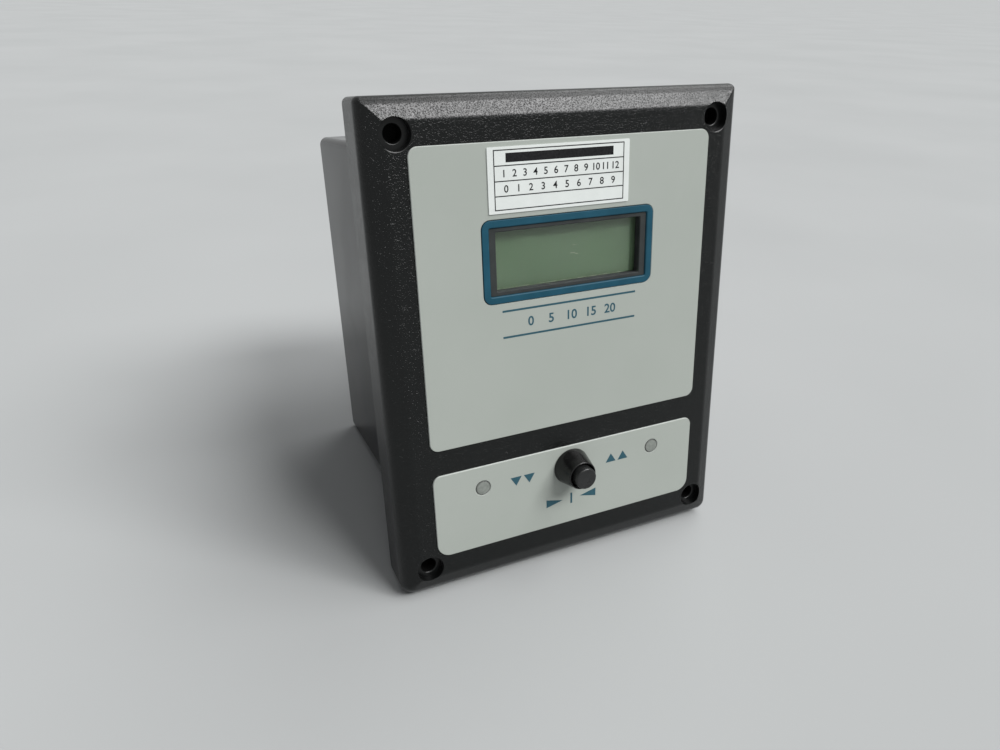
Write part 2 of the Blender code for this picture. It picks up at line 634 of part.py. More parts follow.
def make_display_trim(mat):
    """Bead: a ring whose front is rounded across its width."""
    bm = bmesh.new()
    loops = []
    for step in range(-1, EDGE_STEPS + 2):
        share = min(max(step / EDGE_STEPS, 0), 1)
        rise = math.sin(math.pi * share) * TRIM_PROUD
        y = LABEL_BACK if step in (-1, EDGE_STEPS + 1) else LABEL_FRONT - rise
        inset = TRIM_WIDTH * share
        outline = rounded_rect(TRIM_OUTER_WIDTH - 2 * inset, TRIM_OUTER_HEIGHT - 2 * inset,
                               max(TRIM_CORNER - inset, LAND_CORNER))
        loops.append(add_loop(bm, outline, y))
    skin(bm, loops + loops[:1])
    place("display_trim", bm, mat, z=DISPLAY_Z)


def make_lamps(window_mat, led_mat):
    window = [(0, LABEL_FRONT), (LAMP_WINDOW_RADIUS, LABEL_FRONT), (LAMP_WINDOW_RADIUS, BEZEL_PLATE + CLEAR),
              (LAMP_FLANGE_RADIUS, BEZEL_PLATE + CLEAR),
              (LAMP_FLANGE_RADIUS, BEZEL_PLATE + CLEAR + LAMP_FLANGE_THICK),
              (0, BEZEL_PLATE + CLEAR + LAMP_FLANGE_THICK)]
    dome_front = BEZEL_PLATE + CLEAR + LAMP_FLANGE_THICK + CLEAR
    led_back = BOARD_FRONT - CLEAR
    flange = led_back - LED_FLANGE_THICK
    dome = [(LED_RADIUS * math.sin(math.pi / 2 * step / EDGE_STEPS),
             dome_front + LED_RADIUS * (1 - math.cos(math.pi / 2 * step / EDGE_STEPS)))
            for step in range(EDGE_STEPS + 1)]
    led = dome + [(LED_RADIUS, flange), (LED_FLANGE_RADIUS, flange), (LED_FLANGE_RADIUS, led_back),
                  (0, led_back)]
    for name, x in (("low", -LAMP_X), ("high", LAMP_X)):
        place("led_window_" + name, turned(window, 24), window_mat, x=x, z=LAMP_Z)
        place("led_" + name, turned(led), led_mat, x=x, z=LAMP_Z)


# Display stack

def make_display(window_mat, glass_mat, holder_mat, zebra_mat):
    place("display_window", block(GLASS_WIDTH, GLASS_HEIGHT, WINDOW_FRONT, WINDOW_FRONT + WINDOW_THICK),
          window_mat, z=DISPLAY_Z)
    place("lcd_glass", block(GLASS_WIDTH, GLASS_HEIGHT, LCD_FRONT, LCD_FRONT + LCD_THICK), glass_mat,
          z=DISPLAY_Z)
    inner_width = GLASS_WIDTH + 2 * CLEAR
    inner_height = GLASS_HEIGHT + 2 * CLEAR
    outer = rounded_rect(inner_width + 2 * HOLDER_WALL, inner_height + 2 * HOLDER_WALL, LAND_CORNER)
    inner = rounded_rect(inner_width, inner_height, LAND_CORNER)
    place("lcd_holder", ring_slab(outer, inner, BEZEL_PLATE + CLEAR, BOARD_FRONT - CLEAR), holder_mat,
          z=DISPLAY_Z)
    offset = GLASS_HEIGHT / 2 - ZEBRA_INSET - ZEBRA_THICK / 2
    for name, z in (("upper", offset), ("lower", -offset)):
        place("zebra_" + name, block(GLASS_WIDTH - 2 * ZEBRA_INSET, ZEBRA_THICK, ZEBRA_FRONT,
                                     ZEBRA_FRONT + ZEBRA_HEIGHT), zebra_mat, z=DISPLAY_Z + z)


def board(name, height, front, holes, mat, z):
    piece = place(name, slab(rounded_rect(BOARD_WIDTH, height, CLEAR), front, front + BOARD_THICK), mat, z=z)
    through = (front - OVERCUT, front + BOARD_THICK + OVERCUT)
    cut(piece, at_places(lambda: pin(BOARD_HOLE_RADIUS, *through, SCREW_STEPS), holes), "screw_holes")
    return piece, through


def make_display_board(board_mat, screw_mat, chip_mat):
    piece, through = board("display_board", DISPLAY_BOARD_HEIGHT, BOARD_FRONT, display_board_holes(),
                           board_mat, DISPLAY_BOARD_Z)
    room = SWITCH_WIDTH + 4 * CLEAR
    cut(piece, moved(block(room, room, *through), z=LAMP_Z - DISPLAY_BOARD_Z), "switch_opening")
    for number, (x, z) in enumerate(display_board_holes(), 1):
        screw(f"display_board_screw_{number}", screw_mat, SCREW_HEAD_RADIUS, BOARD_SCREW_LENGTH,
              x, BOARD_BACK + CLEAR, DISPLAY_BOARD_Z + z, -1)
    back = BOARD_BACK + CLEAR
    place("meter_chip", block(CHIP_WIDTH, CHIP_HEIGHT, back, back + CHIP_THICK), chip_mat, z=DISPLAY_Z)
    place("display_header", block(HEADER_WIDTH, HEADER_HEIGHT, back, back + HEADER_DEPTH), chip_mat,
          x=HEADER_X, z=DISPLAY_Z - HEADER_BELOW)


# Push button

def make_button(sleeve_mat, cap_mat, spring_mat, body_mat):
    thread = NECK_RADIUS + CLEAR
    place("button_sleeve", turned([
        (SLEEVE_BASE_RADIUS, SLEEVE_BASE), (SLEEVE_RIM_RADIUS, SLEEVE_RIM + SLEEVE_CHAMFER),
        (SLEEVE_RIM_RADIUS - SLEEVE_CHAMFER, SLEEVE_RIM), (SLEEVE_BORE, SLEEVE_RIM),
        (SLEEVE_BORE, SLEEVE_STEP), (thread, SLEEVE_STEP), (thread, SLEEVE_BASE)], ROUND_STEPS),
        sleeve_mat, z=LAMP_Z)

    crown = [(CAP_RADIUS - CAP_ROUND * (1 - math.sin(math.pi / 2 * step / CORNER_STEPS)),
              CAP_FRONT + CAP_ROUND * (1 - math.cos(math.pi / 2 * step / CORNER_STEPS)))
             for step in range(CORNER_STEPS + 1)]
    place("button_cap", turned([(0, CAP_FRONT), *crown, (CAP_RADIUS, CAP_BACK), (STEM_RADIUS, CAP_BACK),
                                (STEM_RADIUS, COLLAR_FRONT), (COLLAR_RADIUS, COLLAR_FRONT),
                                (COLLAR_RADIUS, COLLAR_BACK), (0, COLLAR_BACK)], ROUND_STEPS),
          cap_mat, z=LAMP_Z)

    guide = STEM_RADIUS + RUNNING
    body = place("switch_body", block(SWITCH_WIDTH, SWITCH_WIDTH, SWITCH_FRONT, SWITCH_BACK), body_mat,
                 z=LAMP_Z)
    unite(body, pin(NECK_RADIUS, NECK_FRONT, SWITCH_FRONT + OVERCUT, ROUND_STEPS), "neck")
    cut(body, turned([(0, NECK_FRONT - OVERCUT), (guide, NECK_FRONT - OVERCUT), (guide, GUIDE_BACK),
                      (PLUNGER_BORE, GUIDE_BACK), (PLUNGER_BORE, SWITCH_BACK + OVERCUT),
                      (0, SWITCH_BACK + OVERCUT)]), "bore")
    place("switch_base", block(SWITCH_WIDTH, SWITCH_WIDTH, SWITCH_BACK + CLEAR,
                               SWITCH_BACK + CLEAR + SWITCH_BASE_THICK), body_mat, z=LAMP_Z)
    make_spring(spring_mat)


def make_spring(mat):
    """Helical wire between the plunger's collar and the switch's base."""
    radius = PLUNGER_BORE - RUNNING - SPRING_WIRE
    first = SPRING_FRONT + SPRING_WIRE
    rise = SPRING_LENGTH - 2 * SPRING_WIRE
    count = SPRING_TURNS * SPRING_POINTS
    curve = bpy.data.curves.new("button_spring", "CURVE")
    curve.dimensions = "3D"
    curve.bevel_depth = SPRING_WIRE
    curve.bevel_resolution = 1
    curve.use_fill_caps = True
    spline = curve.splines.new("POLY")
    spline.points.add(count)
    path = []
    for step, point in enumerate(spline.points):
        angle = 2 * math.pi * step / SPRING_POINTS
        spot = Vector((radius * math.cos(angle), first + rise * step / count, radius * math.sin(angle)))
        path.append(spot)
        point.co = (*spot, 1)
    least = min((a - b).length for i, a in enumerate(path) for b in path[i + SPRING_POINTS // 2:])
    print(f"button_spring: least gap to itself {(least - 2 * SPRING_WIRE) / MM:.2f} mm")
    curve.materials.append(mat)
    spring = bpy.data.objects.new("button_spring", curve)
    bpy.context.scene.collection.objects.link(spring)
    spring.parent = STAND
    spring.location = (0, 0, LAMP_Z)


# Main board

def make_main_board(board_mat, screw_mat):
    board("main_board", MAIN_BOARD_HEIGHT, MAIN_FRONT, main_board_holes(), board_mat, CENTRE_Z)
    for number, (x, z) in enumerate(main_board_holes(), 1):
        screw(f"main_board_screw_{number}", screw_mat, SCREW_HEAD_RADIUS, BOARD_SCREW_LENGTH,
              x, MAIN_FRONT - CLEAR, CENTRE_Z + z, 1)


def make_transformer(core_mat, coil_mat):
    back = MAIN_FRONT - CLEAR
    front = back - CORE_HEIGHT
    leg = CORE_WIDTH - 4 * CORE_YOKE
    z = CENTRE_Z - TRANSFORMER_DROP
    core = place("transformer_core", block(CORE_WIDTH, CORE_THICK, front, back), core_mat, z=z)
    windows = [moved(block(CORE_YOKE, CORE_THICK + 2 * OVERCUT, front + CORE_YOKE, back - CORE_YOKE),
                     side * (leg + CORE_YOKE) / 2) for side in (-1, 1)]
    cut(core, joined(windows), "windows")
    inner_width = leg + 2 * CLEAR
    inner_height = CORE_THICK + 2 * CLEAR
    inner = rounded_rect(inner_width, inner_height, CLEAR)
    outer = rounded_rect(inner_width + 2 * COIL_WALL, inner_height + 2 * COIL_WALL, COIL_WALL / 2)
    place("transformer_coil", ring_slab(outer, inner, front + CORE_YOKE + CLEAR, back - CORE_YOKE - CLEAR),
          coil_mat, z=z)


def make_board_parts(relay_mat, capacitor_mat, holder_mat, fuse_mat):
    back = MAIN_FRONT - CLEAR
    place("relay", block(RELAY_WIDTH, RELAY_HEIGHT, back - RELAY_DEPTH, back), relay_mat,
          x=RELAY_X, z=MAIN_BOARD_TOP - RELAY_DROP)
    place("filter_capacitor", pin(CAPACITOR_RADIUS, back - CAPACITOR_HEIGHT, back), capacitor_mat,
          x=CAPACITOR_X, z=MAIN_BOARD_TOP - CAPACITOR_DROP)

    floor = back - HOLDER_BASE
    length = FUSE_LENGTH + 2 * CLEAR + 2 * HOLDER_EAR
    top = floor - 2 * CLEAR - 2 * FUSE_RADIUS
    holder = place("fuse_holder", block(length, 4 * FUSE_RADIUS, top, back), holder_mat,
                   x=FUSE_X, z=FUSE_Z)
    cut(holder, block(FUSE_LENGTH + 2 * CLEAR, 6 * FUSE_RADIUS, top - OVERCUT, floor), "fuse_space")
    fuse = pin(FUSE_RADIUS, -FUSE_LENGTH / 2, FUSE_LENGTH / 2)
    bmesh.ops.rotate(fuse, verts=fuse.verts, matrix=Matrix.Rotation(math.pi / 2, 3, "Z"))
    place("fuse", fuse, fuse_mat, x=FUSE_X, y=floor - CLEAR - FUSE_RADIUS, z=FUSE_Z)


def make_ribbon(header_mat, ribbon_mat):
    """Flat cable that sags between the headers of the two boards."""
    main_back = MAIN_FRONT - CLEAR
    place("main_header", block(HEADER_WIDTH, HEADER_HEIGHT, main_back - HEADER_DEPTH, main_back), header_mat,
          x=HEADER_X, z=MAIN_HEADER_Z)
    start = Vector((BOARD_BACK + 2 * CLEAR + HEADER_DEPTH, DISPLAY_Z - HEADER_BELOW))
    end = Vector((main_back - HEADER_DEPTH - CLEAR, MAIN_HEADER_Z))
    upper, lower = [], []
    for step in range(RIBBON_POINTS + 1):
        share = step / RIBBON_POINTS
        ease = share * share * (3 - 2 * share)
        y = start.x + (end.x - start.x) * share
        z = start.y + (end.y - start.y) * ease - RIBBON_SAG * math.sin(math.pi * share) ** 2
        upper.append((y, z + RIBBON_THICK / 2))
        lower.append((y, z - RIBBON_THICK / 2))
    bm = bmesh.new()
    loops = [[bm.verts.new((x, y, z)) for y, z in upper + lower[::-1]]
             for x in (-RIBBON_WIDTH / 2, RIBBON_WIDTH / 2)]
    skin(bm, loops)
    for loop in loops:
        bm.faces.new(loop)
    place("ribbon_cable", bm, ribbon_mat, x=HEADER_X)


# Rear side

def make_terminals(block_mat, screw_mat):
    piece = place("terminal_block", block(TERMINAL_WIDTH, TERMINAL_HEIGHT, TERMINAL_FRONT, TERMINAL_FACE),
                  block_mat, z=TERMINAL_Z)
    floor = TERMINAL_FACE - TERMINAL_POCKET
    poles = [(POLE_PITCH * (pole - (POLES - 1) / 2), 0) for pole in range(POLES)]
    cut(piece, at_places(lambda: block(POLE_PITCH - BARRIER, TERMINAL_HEIGHT - 2 * BARRIER, floor,
                                       TERMINAL_FACE + OVERCUT), poles), "pockets")
    shank = TERMINAL_SHANK_LENGTH + CLEAR
    cut(piece, at_places(lambda: pin(BOSS_HOLE_RADIUS, floor - shank, floor + OVERCUT, SCREW_STEPS), poles),
        "screw_holes")
    for number, (x, z) in enumerate(poles, 1):
        screw(f"terminal_screw_{number}", screw_mat, TERMINAL_SCREW_RADIUS, TERMINAL_SHANK_LENGTH,
              x, floor + CLEAR, TERMINAL_Z, -1)


def make_trimmer(body_mat, rotor_mat):
    body = place("trimmer_body", block(TRIMMER_WIDTH, TRIMMER_WIDTH, TRIMMER_FRONT, TRIMMER_BACK), body_mat,
                 x=TRIMMER_X, z=TRIMMER_Z)
    seat = TRIMMER_BACK - ROTOR_SEAT
    cut(body, pin(ROTOR_RADIUS + RUNNING, seat, TRIMMER_BACK + OVERCUT), "rotor_seat")
    rotor = place("trimmer_rotor", pin(ROTOR_RADIUS, seat + CLEAR, ROTOR_BACK), rotor_mat,
                  x=TRIMMER_X, z=TRIMMER_Z)
    cut(rotor, block(4 * ROTOR_RADIUS, SLOT_WIDTH, ROTOR_BACK - SLOT_DEPTH, ROTOR_BACK + OVERCUT), "slot")


def stand_on_floor():
    """Lean the model back, set its lowest edge on z = 0 and centre its box on the origin."""
    STAND.rotation_euler.x = -lean_angle()
    bpy.context.view_layer.update()
    graph = bpy.context.evaluated_depsgraph_get()
    spots = []
    for obj in bpy.context.scene.objects:
        if obj.type in {"MESH", "CURVE"} and not obj.hide_render:
            shape = obj.evaluated_get(graph)
            spots += [obj.matrix_world @ vert.co for vert in shape.to_mesh().vertices]
            shape.to_mesh_clear()
    low = Vector(min(spot[axis] for spot in spots) for axis in range(3))
    high = Vector(max(spot[axis] for spot in spots) for axis in range(3))
    middle = (low + high) / 2
    STAND.location = (-middle.x, -middle.y, -low.z)
    bpy.context.view_layer.update()


clear_scene()
STAND = bpy.data.objects.new("stand", None)
bpy.context.scene.collection.objects.link(STAND)

bezel_black = finish("bezel_black", (0.018, 0.019, 0.020), 0.45)
housing_black = finish("housing_black", (0.012, 0.012, 0.013), 0.12)
label_grey = finish("label_grey", (0.36, 0.40, 0.37), 0.45)
sticker_white = finish("sticker_white", (0.82, 0.83, 0.80), 0.5)
trim_blue = finish("trim_blue", (0.010, 0.110, 0.230), 0.35)
clear_plastic = finish("clear_plastic", (0.9, 0.9, 0.9), 0.08, alpha=0.25)
lcd_green = finish("lcd_green", (0.125, 0.165, 0.110), 0.25)
lamp_grey = finish("lamp_grey", (0.25, 0.27, 0.25), 0.3)
led_red = finish("led_red", (0.35, 0.02, 0.02), 0.2)
button_black = finish("button_black", (0.014, 0.014, 0.015), 0.35)
seal_rubber = finish("seal_rubber", (0.02, 0.02, 0.02), 0.8)
holder_black = finish("holder_black", (0.03, 0.03, 0.03), 0.5)
board_green = finish("board_green", (0.02, 0.12, 0.05), 0.4)
chip_black = finish("chip_black", (0.02, 0.02, 0.022), 0.45)
screw_steel = finish("screw_steel", (0.55, 0.55, 0.56), 0.3, 1.0)
core_steel = finish("core_steel", (0.22, 0.23, 0.25), 0.45, 0.8)
coil_tape = finish("coil_tape", (0.75, 0.55, 0.12), 0.4)
relay_blue = finish("relay_blue", (0.05, 0.09, 0.25), 0.35)
capacitor_sleeve = finish("capacitor_sleeve", (0.03, 0.04, 0.12), 0.35)
fuse_glass = finish("fuse_glass", (0.7, 0.72, 0.7), 0.1)
terminal_black = finish("terminal_black", (0.02, 0.02, 0.02), 0.4)
ribbon_grey = finish("ribbon_grey", (0.45, 0.46, 0.47), 0.5)
trimmer_blue = finish("trimmer_blue", (0.05, 0.15, 0.45), 0.4)
trimmer_brass = finish("trimmer_brass", (0.6, 0.45, 0.15), 0.3, 1.0)

make_bezel(bezel_black)
make_gasket(seal_rubber)
make_housing(housing_black)
make_housing_screws(screw_steel)
make_faceplates(label_grey)
make_sticker(sticker_white)
make_display_trim(trim_blue)
make_lamps(lamp_grey, led_red)
make_display(clear_plastic, lcd_green, holder_black, seal_rubber)
make_display_board(board_green, screw_steel, chip_black)
make_button(button_black, button_black, screw_steel, chip_black)
make_main_board(board_green, screw_steel)
make_transformer(core_steel, coil_tape)
make_board_parts(relay_blue, capacitor_sleeve, holder_black, fuse_glass)
make_ribbon(chip_black, ribbon_grey)
make_terminals(terminal_black, screw_steel)
make_trimmer(trimmer_blue, trimmer_brass)
stand_on_floor()
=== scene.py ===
# %% [markdown]
# # Dressing a panel-mount water monitor
# The real object is a black moulded bezel with two grey overlays, a recessed display, two lamp windows and
# a push button. A glossy black housing stands behind it, and the whole leans back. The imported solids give
# every size, place and joint. Finer meshes and finishes could be fitted by eye over them, but here each one
# takes its place from the solids, so that nothing drifts.

# %% Load the solids
import json
import math

import bmesh
import bpy
from mathutils import Matrix, Vector

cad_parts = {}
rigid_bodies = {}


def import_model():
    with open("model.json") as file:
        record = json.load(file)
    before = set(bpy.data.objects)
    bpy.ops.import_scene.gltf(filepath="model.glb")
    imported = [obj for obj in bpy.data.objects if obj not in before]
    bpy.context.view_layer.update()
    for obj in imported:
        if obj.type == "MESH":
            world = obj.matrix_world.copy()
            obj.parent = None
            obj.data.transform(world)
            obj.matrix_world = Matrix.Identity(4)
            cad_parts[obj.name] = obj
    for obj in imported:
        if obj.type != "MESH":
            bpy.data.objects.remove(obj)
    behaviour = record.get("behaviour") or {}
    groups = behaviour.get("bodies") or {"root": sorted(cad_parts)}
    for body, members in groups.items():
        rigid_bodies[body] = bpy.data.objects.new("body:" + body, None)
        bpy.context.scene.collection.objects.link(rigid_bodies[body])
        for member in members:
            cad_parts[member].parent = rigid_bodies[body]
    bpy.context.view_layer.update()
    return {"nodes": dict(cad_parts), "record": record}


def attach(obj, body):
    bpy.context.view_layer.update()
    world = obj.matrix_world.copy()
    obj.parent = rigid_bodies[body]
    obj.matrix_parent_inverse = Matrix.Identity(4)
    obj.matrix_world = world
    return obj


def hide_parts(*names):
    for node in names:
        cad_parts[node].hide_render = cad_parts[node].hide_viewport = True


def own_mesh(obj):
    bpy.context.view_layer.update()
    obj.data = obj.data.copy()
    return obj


for leftover in list(bpy.data.objects):
    bpy.data.objects.remove(leftover, do_unlink=True)
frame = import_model()
nodes = frame["nodes"]

# %% [markdown]
# ## Axes of the face
# The face leans back, so its own axes are handier than the world's: x to the right, y into the panel and z
# up along the face. They could be typed in as an angle. Reading them from the seat that meets a panel keeps
# them exact. All meshes below are drawn in millimetres on these axes, and `settle` carries them to the
# world.

# %% Panel axes
MM = 0.001
seat = next(mount for mount in frame["record"]["mounts"] if mount["name"] == "panel_seat")
INWARD = Vector(seat["axis"]).normalized()
RIGHT = Vector((1, 0, 0))
FACE_TURN = Matrix((RIGHT, INWARD, RIGHT.cross(INWARD))).transposed()


def extent(points):
    """Lowest and highest corner of some points."""
    low = Vector(min(point[axis] for point in points) for axis in range(3))
    high = Vector(max(point[axis] for point in points) for axis in range(3))
    return low, high


bezel_points = [FACE_TURN.inverted() @ vert.co for vert in nodes["front_bezel"].data.vertices]
turned_low, turned_high = extent(bezel_points)
face_corner = Vector(((turned_low.x + turned_high.x) / 2, turned_low.y, turned_low.z))
PANEL = Matrix.Translation(FACE_TURN @ face_corner) @ FACE_TURN.to_4x4() @ Matrix.Scale(MM, 4)


def panel_box(node):
    """Lowest and highest corner of a solid on the panel's axes, in millimetres."""
    to_panel = PANEL.inverted()
    return extent([to_panel @ vert.co for vert in nodes[node].data.vertices])


bezel_low, bezel_high = panel_box("front_bezel")
BEZEL = bezel_high - bezel_low
MIDDLE = BEZEL.z / 2
lean = math.degrees(math.asin(-INWARD.z))
print(f"bezel {BEZEL.x:.1f} x {BEZEL.z:.1f} x {BEZEL.y:.1f} mm, leaning {lean:.1f} deg")

# %% [markdown]
# ## Camera
# The view is from a little above and to the left of the object, close to it, with a wide lens. Setting a
# camera by trial works for a rough likeness. Here the four corners of the upper overlay gave the focal
# length and the stand-point, so the same perspective comes back: the camera's place and axes are written on
# the panel's axes.

# %% Camera
CAMERA_PLACE = Vector((-106.1, -190.7, 152.3))
CAMERA_RIGHT = Vector((0.91392, -0.40436, -0.03521))
CAMERA_UP = Vector((0.17542, 0.31527, 0.93265))
FOCAL_PIXELS = 720.5
FRAME_PIXELS = 1000
SENSOR_WIDTH = 36
NEAREST_SEEN = 0.01

camera = bpy.data.cameras.new("photo_camera")
camera.sensor_width = SENSOR_WIDTH
camera.lens = SENSOR_WIDTH * FOCAL_PIXELS / FRAME_PIXELS
camera.clip_start = NEAREST_SEEN
camera_stand = bpy.data.objects.new("photo_camera", camera)
bpy.context.scene.collection.objects.link(camera_stand)
camera_turn = FACE_TURN @ Matrix((CAMERA_RIGHT, CAMERA_UP, CAMERA_RIGHT.cross(CAMERA_UP))).transposed()
camera_stand.matrix_world = Matrix.Translation(PANEL @ CAMERA_PLACE) @ camera_turn.to_4x4()
bpy.context.scene.camera = camera_stand
bpy.context.scene.view_settings.view_transform = "Standard"
print(f"camera {camera.lens:.1f} mm at {tuple(round(value, 3) for value in camera_stand.location)}")

# %% [markdown]
# ## Mesh tools
# Moulded and turned pieces need few tools: a stack of outlines (a loft), a ring of outlines, a lathe and a
# cutter. Primitives under many modifiers could make them too, but an outline or a profile says in a few
# numbers what the mould or the lathe does. Each tool is a short function round bmesh. Modifiers are baked
# at once, so a piece is a plain mesh when it is placed.

# %% Outlines and solids
CORNER_STEPS = 10
SAME_POINT = 1e-5


def outline(width, height, corner, foot=None, x=0.0, z=0.0):
    """Rounded rectangle in x and z; foot is the radius of its lower corners."""
    foot = corner if foot is None else foot
    corners = ((-1, -1, foot), (1, -1, foot), (1, 1, corner), (-1, 1, corner))
    points = []
    for index, (side, end, radius) in enumerate(corners):
        middle = Vector((side * (width / 2 - radius), end * (height / 2 - radius)))
        for step in range(CORNER_STEPS + 1):
            angle = math.pi / 2 * (2 + index + step / CORNER_STEPS)
            points.append((x + middle.x + radius * math.cos(angle), z + middle.y + radius * math.sin(angle)))
    return points


def disc(radius, x=0.0, z=0.0, steps=64):
    """Circle in x and z."""
    turns = [2 * math.pi * step / steps for step in range(steps)]
    return [(x + radius * math.cos(angle), z + radius * math.sin(angle)) for angle in turns]


def bar(left, right, z, width):
    """Four corners of a level bar."""
    return [(left, z - width / 2), (right, z - width / 2), (right, z + width / 2), (left, z + width / 2)]


def bridge(bm, loops):
    """Join neighbouring loops of points by quads."""
    for near, far in zip(loops, loops[1:]):
        for i in range(len(near)):
            j = (i + 1) % len(near)
            bm.faces.new((near[i], near[j], far[j], far[i]))


def loft(rings, hollow=False):
    """Solid through a list of (outline, y); a hollow one closes on itself like a picture frame."""
    bm = bmesh.new()
    loops = [[bm.verts.new((x, y, z)) for x, z in points] for points, y in rings]
    if hollow:
        bridge(bm, loops + loops[:1])
    else:
        bridge(bm, loops)
        bm.faces.new(loops[0])
        bm.faces.new(loops[-1])
    bmesh.ops.recalc_face_normals(bm, faces=bm.faces)
    return bm


def plate(points, front, back):
    """Flat solid of one outline."""
    return loft([(points, front), (points, back)])


def lathe(profile, x=0.0, z=0.0, steps=96):
    """Solid of revolution about y from a closed profile of (radius, y)."""
    bm = bmesh.new()
    verts = [bm.verts.new((radius, y, 0)) for radius, y in profile]
    edges = [bm.edges.new(pair) for pair in zip(verts, verts[1:] + verts[:1])]
    bmesh.ops.spin(bm, geom=verts + edges, cent=(0, 0, 0), axis=(0, 1, 0), angle=2 * math.pi, steps=steps,
                   use_merge=True)
    bmesh.ops.remove_doubles(bm, verts=bm.verts, dist=SAME_POINT)
    bmesh.ops.delete(bm, geom=[edge for edge in bm.edges if not edge.link_faces], context="EDGES")
    bmesh.ops.recalc_face_normals(bm, faces=bm.faces)
    bmesh.ops.translate(bm, verts=bm.verts, vec=(x, 0, z))
    return bm


def together(shapes):
    """Several separate shapes in one mesh."""
    whole = bmesh.new()
    for shape in shapes:
        mesh = bpy.data.meshes.new("shape")
        shape.to_mesh(mesh)
        shape.free()
        whole.from_mesh(mesh)
        bpy.data.meshes.remove(mesh)
    return whole


# %% Pieces, cuts and soft edges
CLEAR_BEND = 60
TOUCH = 1e-3


def piece(name, bm):
    """New object of a shape."""
    mesh = bpy.data.meshes.new(name)
    bm.to_mesh(mesh)
    bm.free()
    obj = bpy.data.objects.new(name, mesh)
    bpy.context.scene.collection.objects.link(obj)
    return obj


def shown(obj):
    """Mesh of an object as it shows, with its modifiers or its curve worked out."""
    bpy.context.view_layer.update()
    return bpy.data.meshes.new_from_object(obj.evaluated_get(bpy.context.evaluated_depsgraph_get()))


def bake(obj):
    """Apply all modifiers of a piece."""
    done = shown(obj)
    rough = obj.data
    obj.modifiers.clear()
    obj.data = done
    bpy.data.meshes.remove(rough)
    done.name = obj.name


def carve(obj, shape, operation="DIFFERENCE"):
    """Cut a shape out of a piece, or unite the two."""
    tool = piece("tool", shape)
    modifier = obj.modifiers.new("carve", "BOOLEAN")
    modifier.object = tool
    modifier.operation = operation
    modifier.solver = "EXACT"
    bake(obj)
    bpy.data.objects.remove(tool, do_unlink=True)


def soften(obj, width, pick, segments=2):
    """Round the clear edges that pick chooses by their two corners."""
    bm = bmesh.new()
    bm.from_mesh(obj.data)
    weight = bm.edges.layers.float.new("bevel_weight_edge")
    for edge in bm.edges:
        if len(edge.link_faces) == 2 and math.degrees(edge.calc_face_angle()) > CLEAR_BEND:
            edge[weight] = float(pick(*(vert.co for vert in edge.verts)))
    bm.to_mesh(obj.data)
    bm.free()
    modifier = obj.modifiers.new("soften", "BEVEL")
    modifier.limit_method = "WEIGHT"
    modifier.width = width
    modifier.segments = segments
    bake(obj)


def weld(obj):
    """Merge the points that a round left on top of each other."""
    bm = bmesh.new()
    bm.from_mesh(obj.data)
    bmesh.ops.remove_doubles(bm, verts=bm.verts, dist=TOUCH)
    bm.to_mesh(obj.data)
    bm.free()


# %% Placing a piece
NORMAL_WEIGHT = 100


def settle(obj, finishes, replaced=(), body="case", sharp=30, coat=None):
    """Shade a piece, carry it from the panel's millimetres to the world and tie it to its body.

    Where it has several finishes, coat gives each face the number of its own."""
    mesh = obj.data
    for number, surface in enumerate(finishes):
        if number < len(mesh.materials):
            mesh.materials[number] = surface
        else:
            mesh.materials.append(surface)
    if coat:
        for face in mesh.polygons:
            face.material_index = coat(face)
    mesh.transform(PANEL)
    mesh.shade_smooth()
    mesh.set_sharp_from_angle(angle=math.radians(sharp))
    even = obj.modifiers.new("even", "WEIGHTED_NORMAL")
    even.keep_sharp = True
    even.weight = NORMAL_WEIGHT
    bake(obj)
    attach(obj, body)
    if replaced:
        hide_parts(*replaced)
    print(f"{obj.name}: {len(obj.data.polygons)} faces")


# %% [markdown]
# ## Finishes
# Moulded plastic is never one flat colour: it has a mould texture, a slight mottle and uneven gloss.
# Pictures could supply these. Noise that is measured in millimetres needs none, and stays true to scale on
# every piece.

# %% Finish tools
def finish(name, color, roughness, metallic=0.0, **sockets):
    """New Principled material; further sockets are named with underscores."""
    mat = bpy.data.materials.new(name)
    mat.use_nodes = True
    shader = mat.node_tree.nodes["Principled BSDF"]
    shader.inputs["Base Color"].default_value = (*color, 1)
    shader.inputs["Roughness"].default_value = roughness
    shader.inputs["Metallic"].default_value = metallic
    for label, value in sockets.items():
        shader.inputs[label.replace("_", " ")].default_value = value
    print(f"finish {name}: colour {color}")
    return mat


def node(mat, kind, **sockets):
    """New node with some of its sockets set."""
    made = mat.node_tree.nodes.new(kind)
    for label, value in sockets.items():
        made.inputs[label.replace("_", " ")].default_value = value
    return made


def noise(mat, size, detail=3.0, stretch=(1, 1, 1)):
    """Noise whose features measure size millimetres on the piece."""
    place = node(mat, "ShaderNodeTexCoord")
    spread = node(mat, "ShaderNodeMapping", Scale=stretch)
    texture = node(mat, "ShaderNodeTexNoise", Scale=1 / (size * MM), Detail=detail)
    mat.node_tree.links.new(place.outputs["Object"], spread.inputs["Vector"])
    mat.node_tree.links.new(spread.outputs["Vector"], texture.inputs["Vector"])
    return texture.outputs["Fac"]


def remap(mat, value, low, high, least=0.0, most=1.0):
    """Carry a value from the range low to high over to least to most."""
    spread = node(mat, "ShaderNodeMapRange", From_Min=low, From_Max=high, To_Min=least, To_Max=most)
    mat.node_tree.links.new(value, spread.inputs["Value"])
    return spread.outputs["Result"]


# %% Patches, gloss and relief
NOISE_LOW, NOISE_HIGH = 0.3, 0.7


